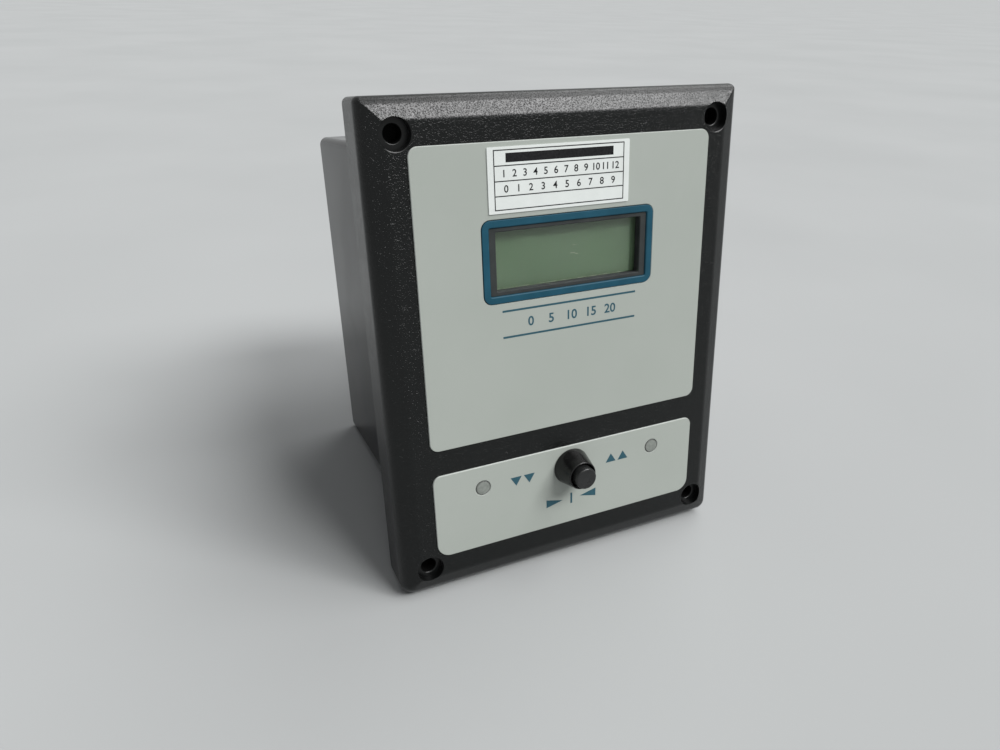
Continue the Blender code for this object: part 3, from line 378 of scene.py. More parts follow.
def mottle(mat, color, size, low=0.35, high=0.65, stretch=(1, 1, 1)):
    """Blend the base colour into another one in soft patches."""
    shader = mat.node_tree.nodes["Principled BSDF"]
    ramp = node(mat, "ShaderNodeValToRGB")
    ramp.color_ramp.elements[0].position = low
    ramp.color_ramp.elements[0].color = shader.inputs["Base Color"].default_value
    ramp.color_ramp.elements[1].position = high
    ramp.color_ramp.elements[1].color = (*color, 1)
    mat.node_tree.links.new(noise(mat, size, stretch=stretch), ramp.inputs["Fac"])
    mat.node_tree.links.new(ramp.outputs["Color"], shader.inputs["Base Color"])


def uneven_gloss(mat, least, most, size):
    """Roughness that wanders between two values, as handling and the mould leave it."""
    shader = mat.node_tree.nodes["Principled BSDF"]
    wander = remap(mat, noise(mat, size), NOISE_LOW, NOISE_HIGH, least, most)
    mat.node_tree.links.new(wander, shader.inputs["Roughness"])


def relief(mat, size, depth, detail=3.0, stretch=(1, 1, 1), low=0.0, high=1.0):
    """Bumps of a size and depth in millimetres, laid over earlier ones; low and high leave only peaks."""
    shader = mat.node_tree.nodes["Principled BSDF"]
    bump = node(mat, "ShaderNodeBump", Distance=depth * MM)
    mat.node_tree.links.new(remap(mat, noise(mat, size, detail, stretch), low, high), bump.inputs["Height"])
    earlier = shader.inputs["Normal"].links
    if earlier:
        mat.node_tree.links.new(earlier[0].from_socket, bump.inputs["Normal"])
    mat.node_tree.links.new(bump.outputs["Normal"], shader.inputs["Normal"])


# %% [markdown]
# ### Enclosure
# The bezel has a coarse, glinting grain from its mould, the counterbores are plain satin, the bores a dull
# black that is painted shade, and the housing is smooth and glossy with slow waves. One layer of bumps looks
# like paper. The grain has two: fine bumps all over, and coarse peaks that stand out of them and catch the
# light one by one; pale specks painted into its colour add more glints.

# %% Finishes of the enclosure
bezel_grain = finish("bezel_grain", (0.002, 0.0026, 0.0025), 0.34, Specular_IOR_Level=0.32)
# Pale specks painted into the colour stand in for glints of the grain.
mottle(bezel_grain, (0.010, 0.0115, 0.0110), size=0.4, low=0.55, high=0.78)
uneven_gloss(bezel_grain, least=0.18, most=0.24, size=5)
relief(bezel_grain, size=0.20, depth=0.030, detail=0)
relief(bezel_grain, size=0.38, depth=0.050, detail=0, low=0.56, high=0.70)

hole_satin = finish("hole_satin", (0.002, 0.0024, 0.0024), 0.3, Specular_IOR_Level=0.32)
mottle(hole_satin, (0.004, 0.0045, 0.0045), size=1)

# Dull black for the bores and their webs: painted shade deep in the holes.
bore_painted_shade = finish("bore_painted_shade", (0.002, 0.002, 0.002), 0.7, Specular_IOR_Level=0.1)
mottle(bore_painted_shade, (0.004, 0.004, 0.004), size=1)

housing_gloss = finish("housing_gloss", (0.006, 0.006, 0.007), 0.16, Specular_IOR_Level=0.12)
mottle(housing_gloss, (0.009, 0.009, 0.010), size=40)
uneven_gloss(housing_gloss, least=0.10, most=0.20, size=22)
relief(housing_gloss, size=18, depth=0.02, detail=1)

# %% [markdown]
# ### Face
# The overlays are matt grey with a pale cut edge whose lightness is partly painted highlight, the sticker is
# paper, the ring round the display is blue, the lamp windows are smoked and the button is satin black. One
# shared plastic with a tint for each would be shorter to write, but the real ones differ in gloss and texture
# as much as in colour, so each has a finish of its own.

# %% Finishes of the face
overlay_grey = finish("overlay_grey", (0.350, 0.378, 0.345), 0.42)
mottle(overlay_grey, (0.363, 0.390, 0.358), size=30)
uneven_gloss(overlay_grey, least=0.38, most=0.48, size=8)
relief(overlay_grey, size=0.35, depth=0.006)

# Pale rim of the overlays: partly the cut edge's own colour, partly painted highlight.
overlay_edge_and_highlight = finish("overlay_edge_and_highlight", (0.60, 0.63, 0.60), 0.34)
mottle(overlay_edge_and_highlight, (0.52, 0.55, 0.52), size=4)

sticker_paper = finish("sticker_paper", (0.70, 0.73, 0.71), 0.40)
mottle(sticker_paper, (0.67, 0.70, 0.68), size=6)
relief(sticker_paper, size=0.5, depth=0.004)

label_ink = finish("label_ink", (0.006, 0.006, 0.007), 0.55, Specular_IOR_Level=0.15)
mottle(label_ink, (0.014, 0.014, 0.015), size=0.6)

teal_ink = finish("teal_ink", (0.020, 0.074, 0.100), 0.50, Specular_IOR_Level=0.3)
mottle(teal_ink, (0.026, 0.088, 0.118), size=0.8)

bead_teal = finish("bead_teal", (0.006, 0.058, 0.092), 0.48, Specular_IOR_Level=0.25)
mottle(bead_teal, (0.009, 0.071, 0.112), size=5)
relief(bead_teal, size=0.6, depth=0.008)

land_grey = finish("land_grey", (0.026, 0.030, 0.030), 0.50, Specular_IOR_Level=0.25)
mottle(land_grey, (0.036, 0.040, 0.040), size=5)
relief(land_grey, size=0.4, depth=0.010)

# %% Finishes of the lamps and the button
lamp_smoke = finish("lamp_smoke", (0.178, 0.194, 0.176), 0.32)
mottle(lamp_smoke, (0.232, 0.249, 0.228), size=0.9)
relief(lamp_smoke, size=0.7, depth=0.02)

lamp_rim = finish("lamp_rim", (0.095, 0.100, 0.094), 0.4)
mottle(lamp_rim, (0.125, 0.132, 0.123), size=0.8)

sleeve_satin = finish("sleeve_satin", (0.003, 0.003, 0.003), 0.28, Specular_IOR_Level=0.4)
mottle(sleeve_satin, (0.006, 0.006, 0.006), size=3)
uneven_gloss(sleeve_satin, least=0.20, most=0.28, size=2)
relief(sleeve_satin, size=0.3, depth=0.004)

cap_satin = finish("cap_satin", (0.012, 0.0125, 0.0125), 0.30, Specular_IOR_Level=0.4)
mottle(cap_satin, (0.017, 0.0175, 0.0175), size=2)
uneven_gloss(cap_satin, least=0.26, most=0.36, size=1.5)
relief(cap_satin, size=0.3, depth=0.004)

# %% [markdown]
# ## Bezel
# The bezel is one moulding: a frame with a sloping front edge that rounds off into the sides, and whose
# slopes meet in a mitre at the corners. The crease where a slope begins is soft, and the two lower corners
# are rounder than the upper ones. A bevelled box would round the mitres too. A stack of shrinking outlines
# keeps them sharp and gives each corner its own radius.

# %% Bezel
BEVEL = 6.4
BEVEL_SLOPE = math.radians(22)
SIDE_ROUND = 4.0
OUTLINE_CORNER = 1.8
OUTLINE_FOOT = 4.2
MITRE_CORNER = 0.3
ROUND_STEPS = 18
CREASE_ROUND = 4.0
CREASE_STEPS = 6
REAR_CHAMFER = 0.4


def bezel_ring(inset, y):
    """Outline of the bezel at the depth y, drawn in by inset."""
    corner, foot = (max(radius - inset, MITRE_CORNER) for radius in (OUTLINE_CORNER, OUTLINE_FOOT))
    return outline(BEZEL.x - 2 * inset, BEZEL.z - 2 * inset, corner, foot, z=MIDDLE), y


slope_width = BEVEL - SIDE_ROUND * (1 - math.sin(BEVEL_SLOPE))
rings = []
for step in range(CREASE_STEPS + 1):
    angle = BEVEL_SLOPE * step / CREASE_STEPS
    inset = BEVEL + CREASE_ROUND * (math.tan(BEVEL_SLOPE / 2) - math.sin(angle))
    rings.append(bezel_ring(inset, CREASE_ROUND * (1 - math.cos(angle))))
for step in range(ROUND_STEPS + 1):
    angle = BEVEL_SLOPE + (math.pi / 2 - BEVEL_SLOPE) * step / ROUND_STEPS
    drop = slope_width * math.tan(BEVEL_SLOPE) + SIDE_ROUND * (math.cos(BEVEL_SLOPE) - math.cos(angle))
    rings.append(bezel_ring(SIDE_ROUND * (1 - math.sin(angle)), drop))
rings += [bezel_ring(0, BEZEL.y - REAR_CHAMFER), bezel_ring(REAR_CHAMFER, BEZEL.y)]
bezel = piece("bezel_shell", loft(rings))
print(f"bezel of {len(rings)} outlines, slope {slope_width:.1f} mm wide")

# %% [markdown]
# ## Pockets and openings
# Cores in the mould leave two shallow pockets for the overlays, and openings for the display, the lamps and
# the button. They could be modelled loop by loop into the frame. Boolean cutters follow the mould instead,
# and the overlays' own outlines, grown by a small gap, cut the pockets, so each overlay is sure to fit.

# %% Bezel: pockets and openings
LABEL_GAP = 0.25
POCKET_FLOOR = 0.4
CORE_REACH = 1.0
CORE_BACK = 10.0
UPPER_CORNER = 2.9
LOWER_CORNER = 2.8
LOWER_FOOT = 4.5
OPENING = Vector((49.3, 17.6))
OPENING_CORNER = 0.4
LAMP_X = 32.3
LAMP_RADIUS = 2.45
BUTTON_HOLE = 3.5
upper_low, upper_high = panel_box("upper_faceplate")
lower_low, lower_high = panel_box("lower_faceplate")
bead_low, bead_high = panel_box("display_trim")
button_low, button_high = panel_box("button_sleeve")
DISPLAY_Z = (bead_low.z + bead_high.z) / 2
BUTTON_Z = (button_low.z + button_high.z) / 2
OVERLAYS = ((upper_low, upper_high, UPPER_CORNER, UPPER_CORNER),
            (lower_low, lower_high, LOWER_CORNER, LOWER_FOOT))


def overlay_outline(low, high, corner, foot, gap=0.0):
    """Outline of an overlay, grown by a gap."""
    size = high - low
    return outline(size.x + 2 * gap, size.z + 2 * gap, corner + gap, foot + gap, z=(low.z + high.z) / 2)


def opening_outline(grow, corner):
    """Outline of the display opening, grown on all sides."""
    return outline(OPENING.x + 2 * grow, OPENING.y + 2 * grow, corner, z=DISPLAY_Z)


carve(bezel, together([plate(overlay_outline(*form, LABEL_GAP), -CORE_REACH, POCKET_FLOOR)
                       for form in OVERLAYS]))
openings = [opening_outline(0, OPENING_CORNER)]
openings += [disc(LAMP_RADIUS + LABEL_GAP, x, BUTTON_Z) for x in (-LAMP_X, LAMP_X)]
openings.append(disc(BUTTON_HOLE, 0, BUTTON_Z))
carve(bezel, together([plate(points, -CORE_REACH, CORE_BACK) for points in openings]))
print(f"{len(OVERLAYS)} pockets and {len(openings)} openings cut")

# %% [markdown]
# ## Mounting holes
# Four counterbored holes take the screws of the panel, and their rounded mouths catch the light. A bevel on
# the cut edges breaks where many small faces meet, so the round is part of the turned cutter. A thin black
# web of painted shade closes each visible hole half way, because the pale floor would shine through it; the
# imported solids' holes go right through. Web and bore take a dull black finish that stands in for the
# shade deep in the hole.

# %% Bezel: mounting holes
HOLE_INSET = 9.5
COUNTERBORE = (4.35, 2.7)  # radius and depth
HOLE_RADIUS = 2.45
# The web is a black sheet of painted shade that keeps the floor from showing through the hole.
SHADE_WEB = (7.0, 7.4)  # front and back
HOLE_STEPS = 64
RIM_ROUND = 0.5
RIM_TURN = math.radians(80)


def round_mouth(radius, y, steps=6):
    """Profile points of a hole's mouth that rounds from a front at y into a wall of that radius."""
    turns = [RIM_TURN * (1 - step / steps) for step in range(steps + 1)]
    return [(radius + RIM_ROUND * (1 - math.cos(turn)), y + RIM_ROUND * (1 - math.sin(turn)))
            for turn in turns]


mouth = round_mouth(COUNTERBORE[0], 0)
hole = [(0, -CORE_REACH), (mouth[0][0], -CORE_REACH), *mouth, COUNTERBORE,
        *round_mouth(HOLE_RADIUS, COUNTERBORE[1]), (HOLE_RADIUS, SHADE_WEB[0]), (0, SHADE_WEB[0])]
rear_hole = [(0, SHADE_WEB[1]), (HOLE_RADIUS, SHADE_WEB[1]), (HOLE_RADIUS, BEZEL.y + CORE_REACH),
             (0, BEZEL.y + CORE_REACH)]
HOLES = [(side * (BEZEL.x / 2 - HOLE_INSET), MIDDLE + end * (MIDDLE - HOLE_INSET))
         for side in (-1, 1) for end in (-1, 1)]
carve(bezel, together([lathe(profile, x, z, HOLE_STEPS) for profile in (hole, rear_hole) for x, z in HOLES]))
print(f"{len(HOLES)} mounting holes, {2 * HOLE_RADIUS:.1f} mm wide")

# %% [markdown]
# ## Hollow back
# Behind its front plate the bezel is hollow. The housing's flange rests on a ledge inside it, and the
# corners stay solid round the mounting holes. A solid block would look the same from the front, but the
# boards need the room and the back is seen too. Two cutters do it: a cross for the flange, and a box for
# what lies inside.

# %% Bezel: hollow back
PLATE_BACK = 2.5
BEZEL_RIM = 3.0
LEDGE = 9.0
INSIDE = Vector((96.2, 121.3))
INSIDE_CORNER = 0.5
HOUSING = Vector((101.2, 126.3))
SEAT_GAP = 0.3
POCKET_ROUND = 0.3


def cross(gap):
    """Outline of the hollow behind the bezel, with the corners left solid round the holes."""
    side = BEZEL.x / 2 - BEZEL_RIM - gap
    end = MIDDLE - BEZEL_RIM - gap
    shoulder_z = HOUSING.y / 2 + SEAT_GAP - gap
    shoulder_x = BEZEL.x / 2 - HOLE_INSET - COUNTERBORE[0] - gap
    quarter = [(side, shoulder_z), (shoulder_x, shoulder_z), (shoulder_x, end)]
    half = quarter + [(-x, z) for x, z in reversed(quarter)]
    return [(x, MIDDLE + z) for x, z in half + [(-x, -z) for x, z in half]]


def bezel_coat(face):
    """0 is the grain, 1 the bore and web of a hole in painted shade, and 2 its satin counterbore."""
    reach = min(math.hypot(face.center.x - x, face.center.z - z) for x, z in HOLES)
    if reach < HOLE_RADIUS and face.center.y > COUNTERBORE[1] + RIM_ROUND:
        return 1
    return 2 if reach < COUNTERBORE[0] + RIM_ROUND else 0


inside = outline(INSIDE.x, INSIDE.y, INSIDE_CORNER, z=MIDDLE)
carve(bezel, plate(cross(0), LEDGE, BEZEL.y + CORE_REACH))
carve(bezel, plate(inside, PLATE_BACK, LEDGE + CORE_REACH))
soften(bezel, POCKET_ROUND, lambda a, b: abs(a.y) + abs(b.y) < TOUCH)
weld(bezel)
settle(bezel, [bezel_grain, bore_painted_shade, hole_satin], ["front_bezel"], sharp=20,
       coat=bezel_coat)

# %% [markdown]
# ## Housing
# Behind the bezel stands a deep glossy box, moulded separately and screwed to it by a flange. A cube with a
# Bevel modifier would do for the outside. Lofting it from outlines gives the same round rear edges and also
# leaves clean flat walls for the terminal opening.

# %% Housing
housing_low, housing_high = panel_box("rear_housing")
HOUSING_CORNER = 3.0
REAR_ROUND = 2.0
REAR_WALL = 3.0
FLANGE = 3.0
REAR_STEPS = 10

rings = [(outline(HOUSING.x, HOUSING.y, HOUSING_CORNER, z=MIDDLE), housing_low.y)]
for step in range(REAR_STEPS + 1):
    angle = math.pi / 2 * step / REAR_STEPS
    inset = REAR_ROUND * (1 - math.cos(angle))
    points = outline(HOUSING.x - 2 * inset, HOUSING.y - 2 * inset, HOUSING_CORNER - inset, z=MIDDLE)
    rings.append((points, housing_high.y - REAR_ROUND * (1 - math.sin(angle))))
housing = piece("housing_shell", loft(rings))
carve(housing, plate(cross(SEAT_GAP), housing_low.y, housing_low.y + FLANGE), "UNION")
carve(housing, plate(inside, housing_low.y - CORE_REACH, housing_high.y - REAR_WALL))
print(f"housing {housing_high.y - housing_low.y:.1f} mm deep")

# %% Housing: rear openings
block_low, block_high = panel_box("terminal_block")
rotor_low, rotor_high = panel_box("trimmer_rotor")
BLOCK_GAP = 1.0
BLOCK_HOLE_CORNER = 0.8
TRIMMER_HOLE = 2.5
HOLE_ROUND = 0.35
ROTOR = Vector(((rotor_low.x + rotor_high.x) / 2, (rotor_low.z + rotor_high.z) / 2))
BLOCK = block_high - block_low
BLOCK_Z = (block_low.z + block_high.z) / 2
wall = (housing_high.y - REAR_WALL - CORE_REACH, housing_high.y + CORE_REACH)
block_hole = outline(BLOCK.x + 2 * BLOCK_GAP, BLOCK.z + 2 * BLOCK_GAP, BLOCK_HOLE_CORNER, z=BLOCK_Z)
trimmer_hole = disc(TRIMMER_HOLE, ROTOR.x, ROTOR.y)
carve(housing, together([plate(points, *wall) for points in (block_hole, trimmer_hole)]))
soften(housing, HOLE_ROUND, lambda a, b: min(a.y, b.y) > housing_high.y - TOUCH)
settle(housing, [housing_gloss], ["rear_housing"], sharp=32)

# %% [markdown]
# ## Overlays
# The two grey overlays are thick plastic labels that sit in the bezel's pockets, a little proud of them, so
# a bright cut edge shows along the top. A grey patch painted on the bezel would lose that edge. Two thin
# plates with a softly rounded rim catch the light as the real ones do, and their rim gets a lighter finish
# that is partly the pale cut edge and partly painted highlight.

# %% Overlays
OVERLAY_ROUND = 0.32
BEAD_GAP = 0.15
BEAD_CORNER = 2.6
LENS_GAP = 0.12
BACK_MARGIN = 0.1
FLAT_FACE = 0.9
bead_size = bead_high - bead_low
upper, lower = (piece(name, plate(overlay_outline(*form), form[0].y, form[1].y))
                for name, form in zip(("upper_overlay", "lower_overlay"), OVERLAYS))
carve(upper, plate(outline(bead_size.x + 2 * BEAD_GAP, bead_size.z + 2 * BEAD_GAP, BEAD_CORNER + BEAD_GAP,
                           z=DISPLAY_Z), upper_low.y - CORE_REACH, upper_high.y + CORE_REACH))
lower_holes = ((LAMP_RADIUS + LENS_GAP, -LAMP_X), (BUTTON_HOLE, 0), (LAMP_RADIUS + LENS_GAP, LAMP_X))
carve(lower, together([plate(disc(radius, x, BUTTON_Z), lower_low.y - CORE_REACH, lower_high.y + CORE_REACH)
                       for radius, x in lower_holes]))
for overlay, replaced in ((upper, "upper_faceplate"), (lower, "lower_faceplate")):
    soften(overlay, OVERLAY_ROUND, lambda a, b: max(a.y, b.y) < upper_high.y - BACK_MARGIN)
    settle(overlay, [overlay_grey, overlay_edge_and_highlight], [replaced],
           coat=lambda face: int(abs(face.normal.y) < FLAT_FACE))

# %% [markdown]
# ## Print
# Ink lies on the overlays in a layer far thinner than a hair. It could be drawn in the material with masks.
# Thin cut-outs of ink are simpler to place, stay sharp at any distance and survive export. The marks are
# plain ones: two rules under the display with a scale between them, arrows beside the lamps and a mark
# under the button.

# %% Ink tools
INK = 0.03
INK_SINK = INK / 2
FIGURE_SHARE = 0.7  # height of a figure in font sizes
FIGURE_STEPS = 4
FACE_Y = upper_low.y


def ink_shape(points, y):
    """Flat shape of ink on a face at y."""
    return plate(points, y - INK, y + INK_SINK)


def ink_line(left, right, z, width, y):
    """Level line of ink."""
    return ink_shape(bar(left, right, z, width), y)


def ink_word(text, height, x, z, y, weight=0.0):
    """Flat figures from Blender's own font, centred on a place of the face and thickened by weight."""
    curve = bpy.data.curves.new("figures", "FONT")
    curve.body = text
    curve.size = height / FIGURE_SHARE
    curve.offset = weight
    curve.align_x = "CENTER"
    curve.resolution_u = FIGURE_STEPS
    figure = bpy.data.objects.new("figures", curve)
    bpy.context.scene.collection.objects.link(figure)
    flat = shown(figure)
    bpy.data.objects.remove(figure, do_unlink=True)
    bm = bmesh.new()
    bm.from_mesh(flat)
    bpy.data.meshes.remove(flat)
    grown = bmesh.ops.extrude_face_region(bm, geom=bm.faces[:])["geom"]
    bmesh.ops.translate(bm, verts=[item for item in grown if isinstance(item, bmesh.types.BMVert)],
                        vec=(0, 0, INK + INK_SINK))
    bmesh.ops.transform(bm, verts=bm.verts, matrix=Matrix(((1, 0, 0, x), (0, 0, -1, y + INK_SINK),
                                                           (0, 1, 0, z - height / 2), (0, 0, 0, 1))))
    bmesh.ops.recalc_face_normals(bm, faces=bm.faces)
    return bm


# %% Marks on the upper overlay
RULE_HALF = 23.4
RULE_WIDTH = 0.62
RULES = (92.6, 84.4)
SCALE = ("0", "5", "10", "15", "20")
SCALE_MIDDLE = (len(SCALE) - 1) / 2
SCALE_Z = 88.5
SCALE_PITCH = 7
SCALE_HEIGHT = 2.9
SCALE_WEIGHT = 0.07
upper_marks = [ink_line(-RULE_HALF, RULE_HALF, z, RULE_WIDTH, FACE_Y) for z in RULES]
upper_marks += [ink_word(figure, SCALE_HEIGHT, SCALE_PITCH * (place - SCALE_MIDDLE), SCALE_Z, FACE_Y,
                         SCALE_WEIGHT) for place, figure in enumerate(SCALE)]
settle(piece("upper_print", together(upper_marks)), [teal_ink])

# %% Marks on the lower overlay
ARROW_HALF, ARROW_RISE = 2.0, 1.6
ARROW_SPACE = 1.2 * ARROW_HALF
ARROWS = (-18.2, 18.0)
ARROW_Z = 34.4
SET_Z = 22.6
SET_BAR = (0.35, 2.0)  # half width and half height
SET_ARROW = (3.4, 9.6, 1.5)  # tip, tail and half height
lower_marks = []
for middle, down in zip(ARROWS, (ARROW_RISE, -ARROW_RISE)):
    for x in (middle - ARROW_SPACE, middle + ARROW_SPACE):
        lower_marks.append(ink_shape([(x - ARROW_HALF, ARROW_Z + down), (x, ARROW_Z - down),
                                      (x + ARROW_HALF, ARROW_Z + down)], FACE_Y))
tip, tail, half = SET_ARROW
for side in (-1, 1):
    points = [(side * tail, SET_Z - half), (side * tip, SET_Z), (side * tail, SET_Z + half)]
    lower_marks.append(ink_shape(points, FACE_Y))
lower_marks.append(ink_line(-SET_BAR[0], SET_BAR[0], SET_Z, 2 * SET_BAR[1], FACE_Y))
settle(piece("lower_print", together(lower_marks)), [teal_ink])

# %% [markdown]
# ## Inspection sticker
# A white paper sticker with a ruled form lies on the upper overlay. A white patch in the overlay's finish
# would lie too flat. It is a thin sheet of its own, so its edge casts a hairline shadow. The form's rows
# hold plain month and year figures, as such stickers do.

# %% Inspection sticker
sheet_low, sheet_high = panel_box("calibration_sticker")
SHEET = sheet_high - sheet_low
SHEET_X = (sheet_low.x + sheet_high.x) / 2
SHEET_Z = (sheet_low.z + sheet_high.z) / 2
SHEET_CORNER = 0.35
GLUE = 0.01
sheet_outline = outline(SHEET.x, SHEET.z, SHEET_CORNER, x=SHEET_X, z=SHEET_Z)
sticker = piece("sticker_sheet", plate(sheet_outline, sheet_low.y, FACE_Y - GLUE))
settle(sticker, [sticker_paper], ["calibration_sticker"])

# %% Form on the sticker
FORM_SIDE = 2.0
FORM_ROWS = (0.9, 5.1, 9.3, 13.4, 17.2)
RULING = 0.28
HEADER_HALF, HEADER_HEIGHT = 17.5, 2.5
FIGURE_HEIGHT = 2.0
FIGURE_WEIGHT = 0.035
MONTHS = (range(1, 13), 3.3, 7.2)  # figures, pitch and drop
YEARS = (range(10), 3.9, 11.4)
form_left, form_right = sheet_low.x + FORM_SIDE, sheet_high.x - FORM_SIDE
form = [ink_line(form_left, form_right, sheet_high.z - drop, RULING, sheet_low.y) for drop in FORM_ROWS]
top, foot = sheet_high.z - FORM_ROWS[0], sheet_high.z - FORM_ROWS[-1]
for x in (form_left, form_right):
    form.append(ink_line(x - RULING / 2, x + RULING / 2, (top + foot) / 2, top - foot + RULING, sheet_low.y))
header = sheet_high.z - (FORM_ROWS[0] + FORM_ROWS[1]) / 2
form.append(ink_line(SHEET_X - HEADER_HALF, SHEET_X + HEADER_HALF, header, HEADER_HEIGHT, sheet_low.y))
for figures, pitch, drop in (MONTHS, YEARS):
    for place, figure in enumerate(figures):
        x = SHEET_X + pitch * (place - (len(figures) - 1) / 2)
        form.append(ink_word(str(figure), FIGURE_HEIGHT, x, sheet_high.z - drop, sheet_low.y, FIGURE_WEIGHT))
settle(piece("sticker_form", together(form)), [label_ink])

# %% [markdown]
# ## Display surround
# A low blue band frames the display, and inside it lies a narrow grey land before the dark opening drops to
# the glass. A flat blue outline would miss the soft shoulders that the real band has, and a half-round bead
# would shine too much. A ring of outlines with one small round outside and a wider one inside gives the low
# form.

# %% Display band
BEAD_WIDTH = 2.2
BEAD_RISE = 0.16
SHOULDER_OUT, SHOULDER_IN = 0.16, 0.45
SHOULDER_STEPS = 6
LEAST_CORNER = 0.5
BEAD_TOP = FACE_Y - BEAD_RISE


def bead_ring(inset, y):
    """Outline of the band at the depth y, drawn in by inset."""
    corner = max(BEAD_CORNER - inset, LEAST_CORNER)
    return outline(bead_size.x - 2 * inset, bead_size.z - 2 * inset, corner, z=DISPLAY_Z), y


quarter = [math.pi / 2 * step / SHOULDER_STEPS for step in range(SHOULDER_STEPS + 1)]
rings = [bead_ring(0, bead_high.y)]
rings += [bead_ring(SHOULDER_OUT * (1 - math.cos(angle)),
                    BEAD_TOP + SHOULDER_OUT * (1 - math.sin(angle))) for angle in quarter]
rings += [bead_ring(BEAD_WIDTH - SHOULDER_IN * (1 - math.sin(angle)),
                    BEAD_TOP + SHOULDER_IN * (1 - math.cos(angle))) for angle in quarter]
rings.append(bead_ring(BEAD_WIDTH, bead_high.y))
settle(piece("display_bead", loft(rings, hollow=True)), [bead_teal], ["display_trim"], sharp=50)

# %% Display land
LAND_GAP = 0.1
LAND_TOP = -0.12
LAND_SLOPE = 0.15
LAND_CORNER = 0.45
LAND_BACK = 0.3
LIP = 0.05
LIP_CORNER = 0.35
LIP_BACK = 2.4
land_size = Vector((bead_size.x, bead_size.z)) - Vector((1, 1)) * 2 * (BEAD_WIDTH + LAND_GAP)
land_outline = outline(land_size.x, land_size.y, LAND_CORNER, z=DISPLAY_Z)
rings = [(land_outline, y) for y in (LAND_BACK, LAND_TOP)]
rings.append((opening_outline(LAND_SLOPE, OPENING_CORNER), LAND_TOP))
rings += [(opening_outline(-LIP, LIP_CORNER), y) for y in (LAND_SLOPE, LIP_BACK)]
rings += [(opening_outline(LIP, OPENING_CORNER), y) for y in (LIP_BACK, LAND_BACK)]
settle(piece("display_land", loft(rings, hollow=True)), [land_grey], sharp=25)

# %% [markdown]
# ## Display glass
# A blank display shows a grey-green reflector behind two panes and a clear window. New meshes could be
# drawn for them, but the solids already have the right shape, so only their finishes change: a faintly
# mottled reflector, and a clear window whose gloss does the rest.

# %% Display glass
lcd_reflector = finish("lcd_reflector", (0.118, 0.190, 0.107), 0.30)
mottle(lcd_reflector, (0.131, 0.197, 0.122), size=26)
relief(lcd_reflector, size=0.25, depth=0.003)
window_clear = finish("window_clear", (1, 1, 1), 0.05, Transmission_Weight=1.0, IOR=1.3)
uneven_gloss(window_clear, least=0.03, most=0.10, size=9)


def dress(names, mat):
    """Give solids that keep their shape a finish."""
    for name in names:
        mesh = nodes[name].data
        mesh.materials.clear()
        mesh.materials.append(mat)
    print(f"{mat.name}: {', '.join(names)}")


dress(["lcd_glass"], lcd_reflector)
dress(["display_window"], window_clear)

# %% [markdown]
# ## Wear and painted glint on the window
# The window is scuffed near its middle, and its lower edge glints in uneven runs; the scuffs are wear, the
# runs are a painted highlight. Masks in the window's finish could show both, but they are hard to place.
# Thin slips of a dull pale finish just in front of it are easy to place, and a sine wave gives the runs
# their uneven lengths without any random draw.

# %% Wear and painted glint on the window
# Pale slips: scuffs of wear near the middle, and a painted highlight in runs along the lower edge.
scuffs_and_painted_glint = finish("scuffs_and_painted_glint", (0.42, 0.45, 0.35), 0.5)
mottle(scuffs_and_painted_glint, (0.20, 0.23, 0.17), size=1.6)
SCUFFS = ((2.2, 107.0, 1.9, 0.20), (3.4, 106.6, 1.1, 0.18), (2.6, 109.4, 1.5, 0.14))  # x, z, length and width
EDGE_RISE, EDGE_WIDTH = 0.24, 0.13
EDGE_Z = DISPLAY_Z - OPENING.y / 2 + EDGE_RISE
GLINT_FIRST, GLINT_LAST = 1, 6
GLINT_RUN, GLINT_SWING, GLINT_BEAT = 2.6, 2.2, 1.7
GLINT_GAP = 0.5
slip_y = panel_box("display_window")[0].y - INK
scuffs_and_glints = [ink_line(x - length / 2, x + length / 2, z, width, slip_y) for x, z, length, width in SCUFFS]
glint = -OPENING.x / 2 + GLINT_FIRST
while glint < OPENING.x / 2 - GLINT_LAST:
    run = GLINT_RUN + GLINT_SWING * math.sin(GLINT_BEAT * glint)
    scuffs_and_glints.append(ink_line(glint, glint + run, EDGE_Z, EDGE_WIDTH, slip_y))
    glint += run + GLINT_GAP
settle(piece("window_scuffs_and_glint", together(scuffs_and_glints)), [scuffs_and_painted_glint])

# %% [markdown]
# ## Lamp windows
# Two smoked discs sit flush in the lower overlay in front of the lamps. A flat grey disc would do from
# afar. On the real ones a thin dark line shows where disc and overlay meet, so each is turned with a narrow
# darker rim and a face that is very slightly domed.

# %% Lamp windows
lens_low, lens_high = panel_box("led_window_low")
LENS_STEPS = 48
LENS_FLANGE = 1
RIM = 0.28
RIM_STEP = 0.02
RIM_CHAMFER = (0.06, 0.1)
DOME = 0.12
DOME_SHOULDER = (1.0, 0.8 * DOME)
flange, flange_front = (lens_high.x - lens_low.x) / 2, lens_high.y - LENS_FLANGE
profile = [(0, FACE_Y - DOME), (DOME_SHOULDER[0], FACE_Y - DOME_SHOULDER[1]),
           (LAMP_RADIUS - RIM, FACE_Y - RIM_STEP), (LAMP_RADIUS - RIM_CHAMFER[0], FACE_Y + RIM_STEP),
           (LAMP_RADIUS, FACE_Y + RIM_CHAMFER[1]), (LAMP_RADIUS, flange_front), (flange, flange_front),
           (flange, lens_high.y), (0, lens_high.y)]
for name, x in (("low", -LAMP_X), ("high", LAMP_X)):
    lens = piece("lamp_window_" + name, lathe(profile, x, BUTTON_Z, LENS_STEPS))
    settle(lens, [lamp_smoke, lamp_rim], ["led_window_" + name],
           coat=lambda face: int(math.hypot(face.center.x - x, face.center.z - BUTTON_Z) > LAMP_RADIUS - RIM))

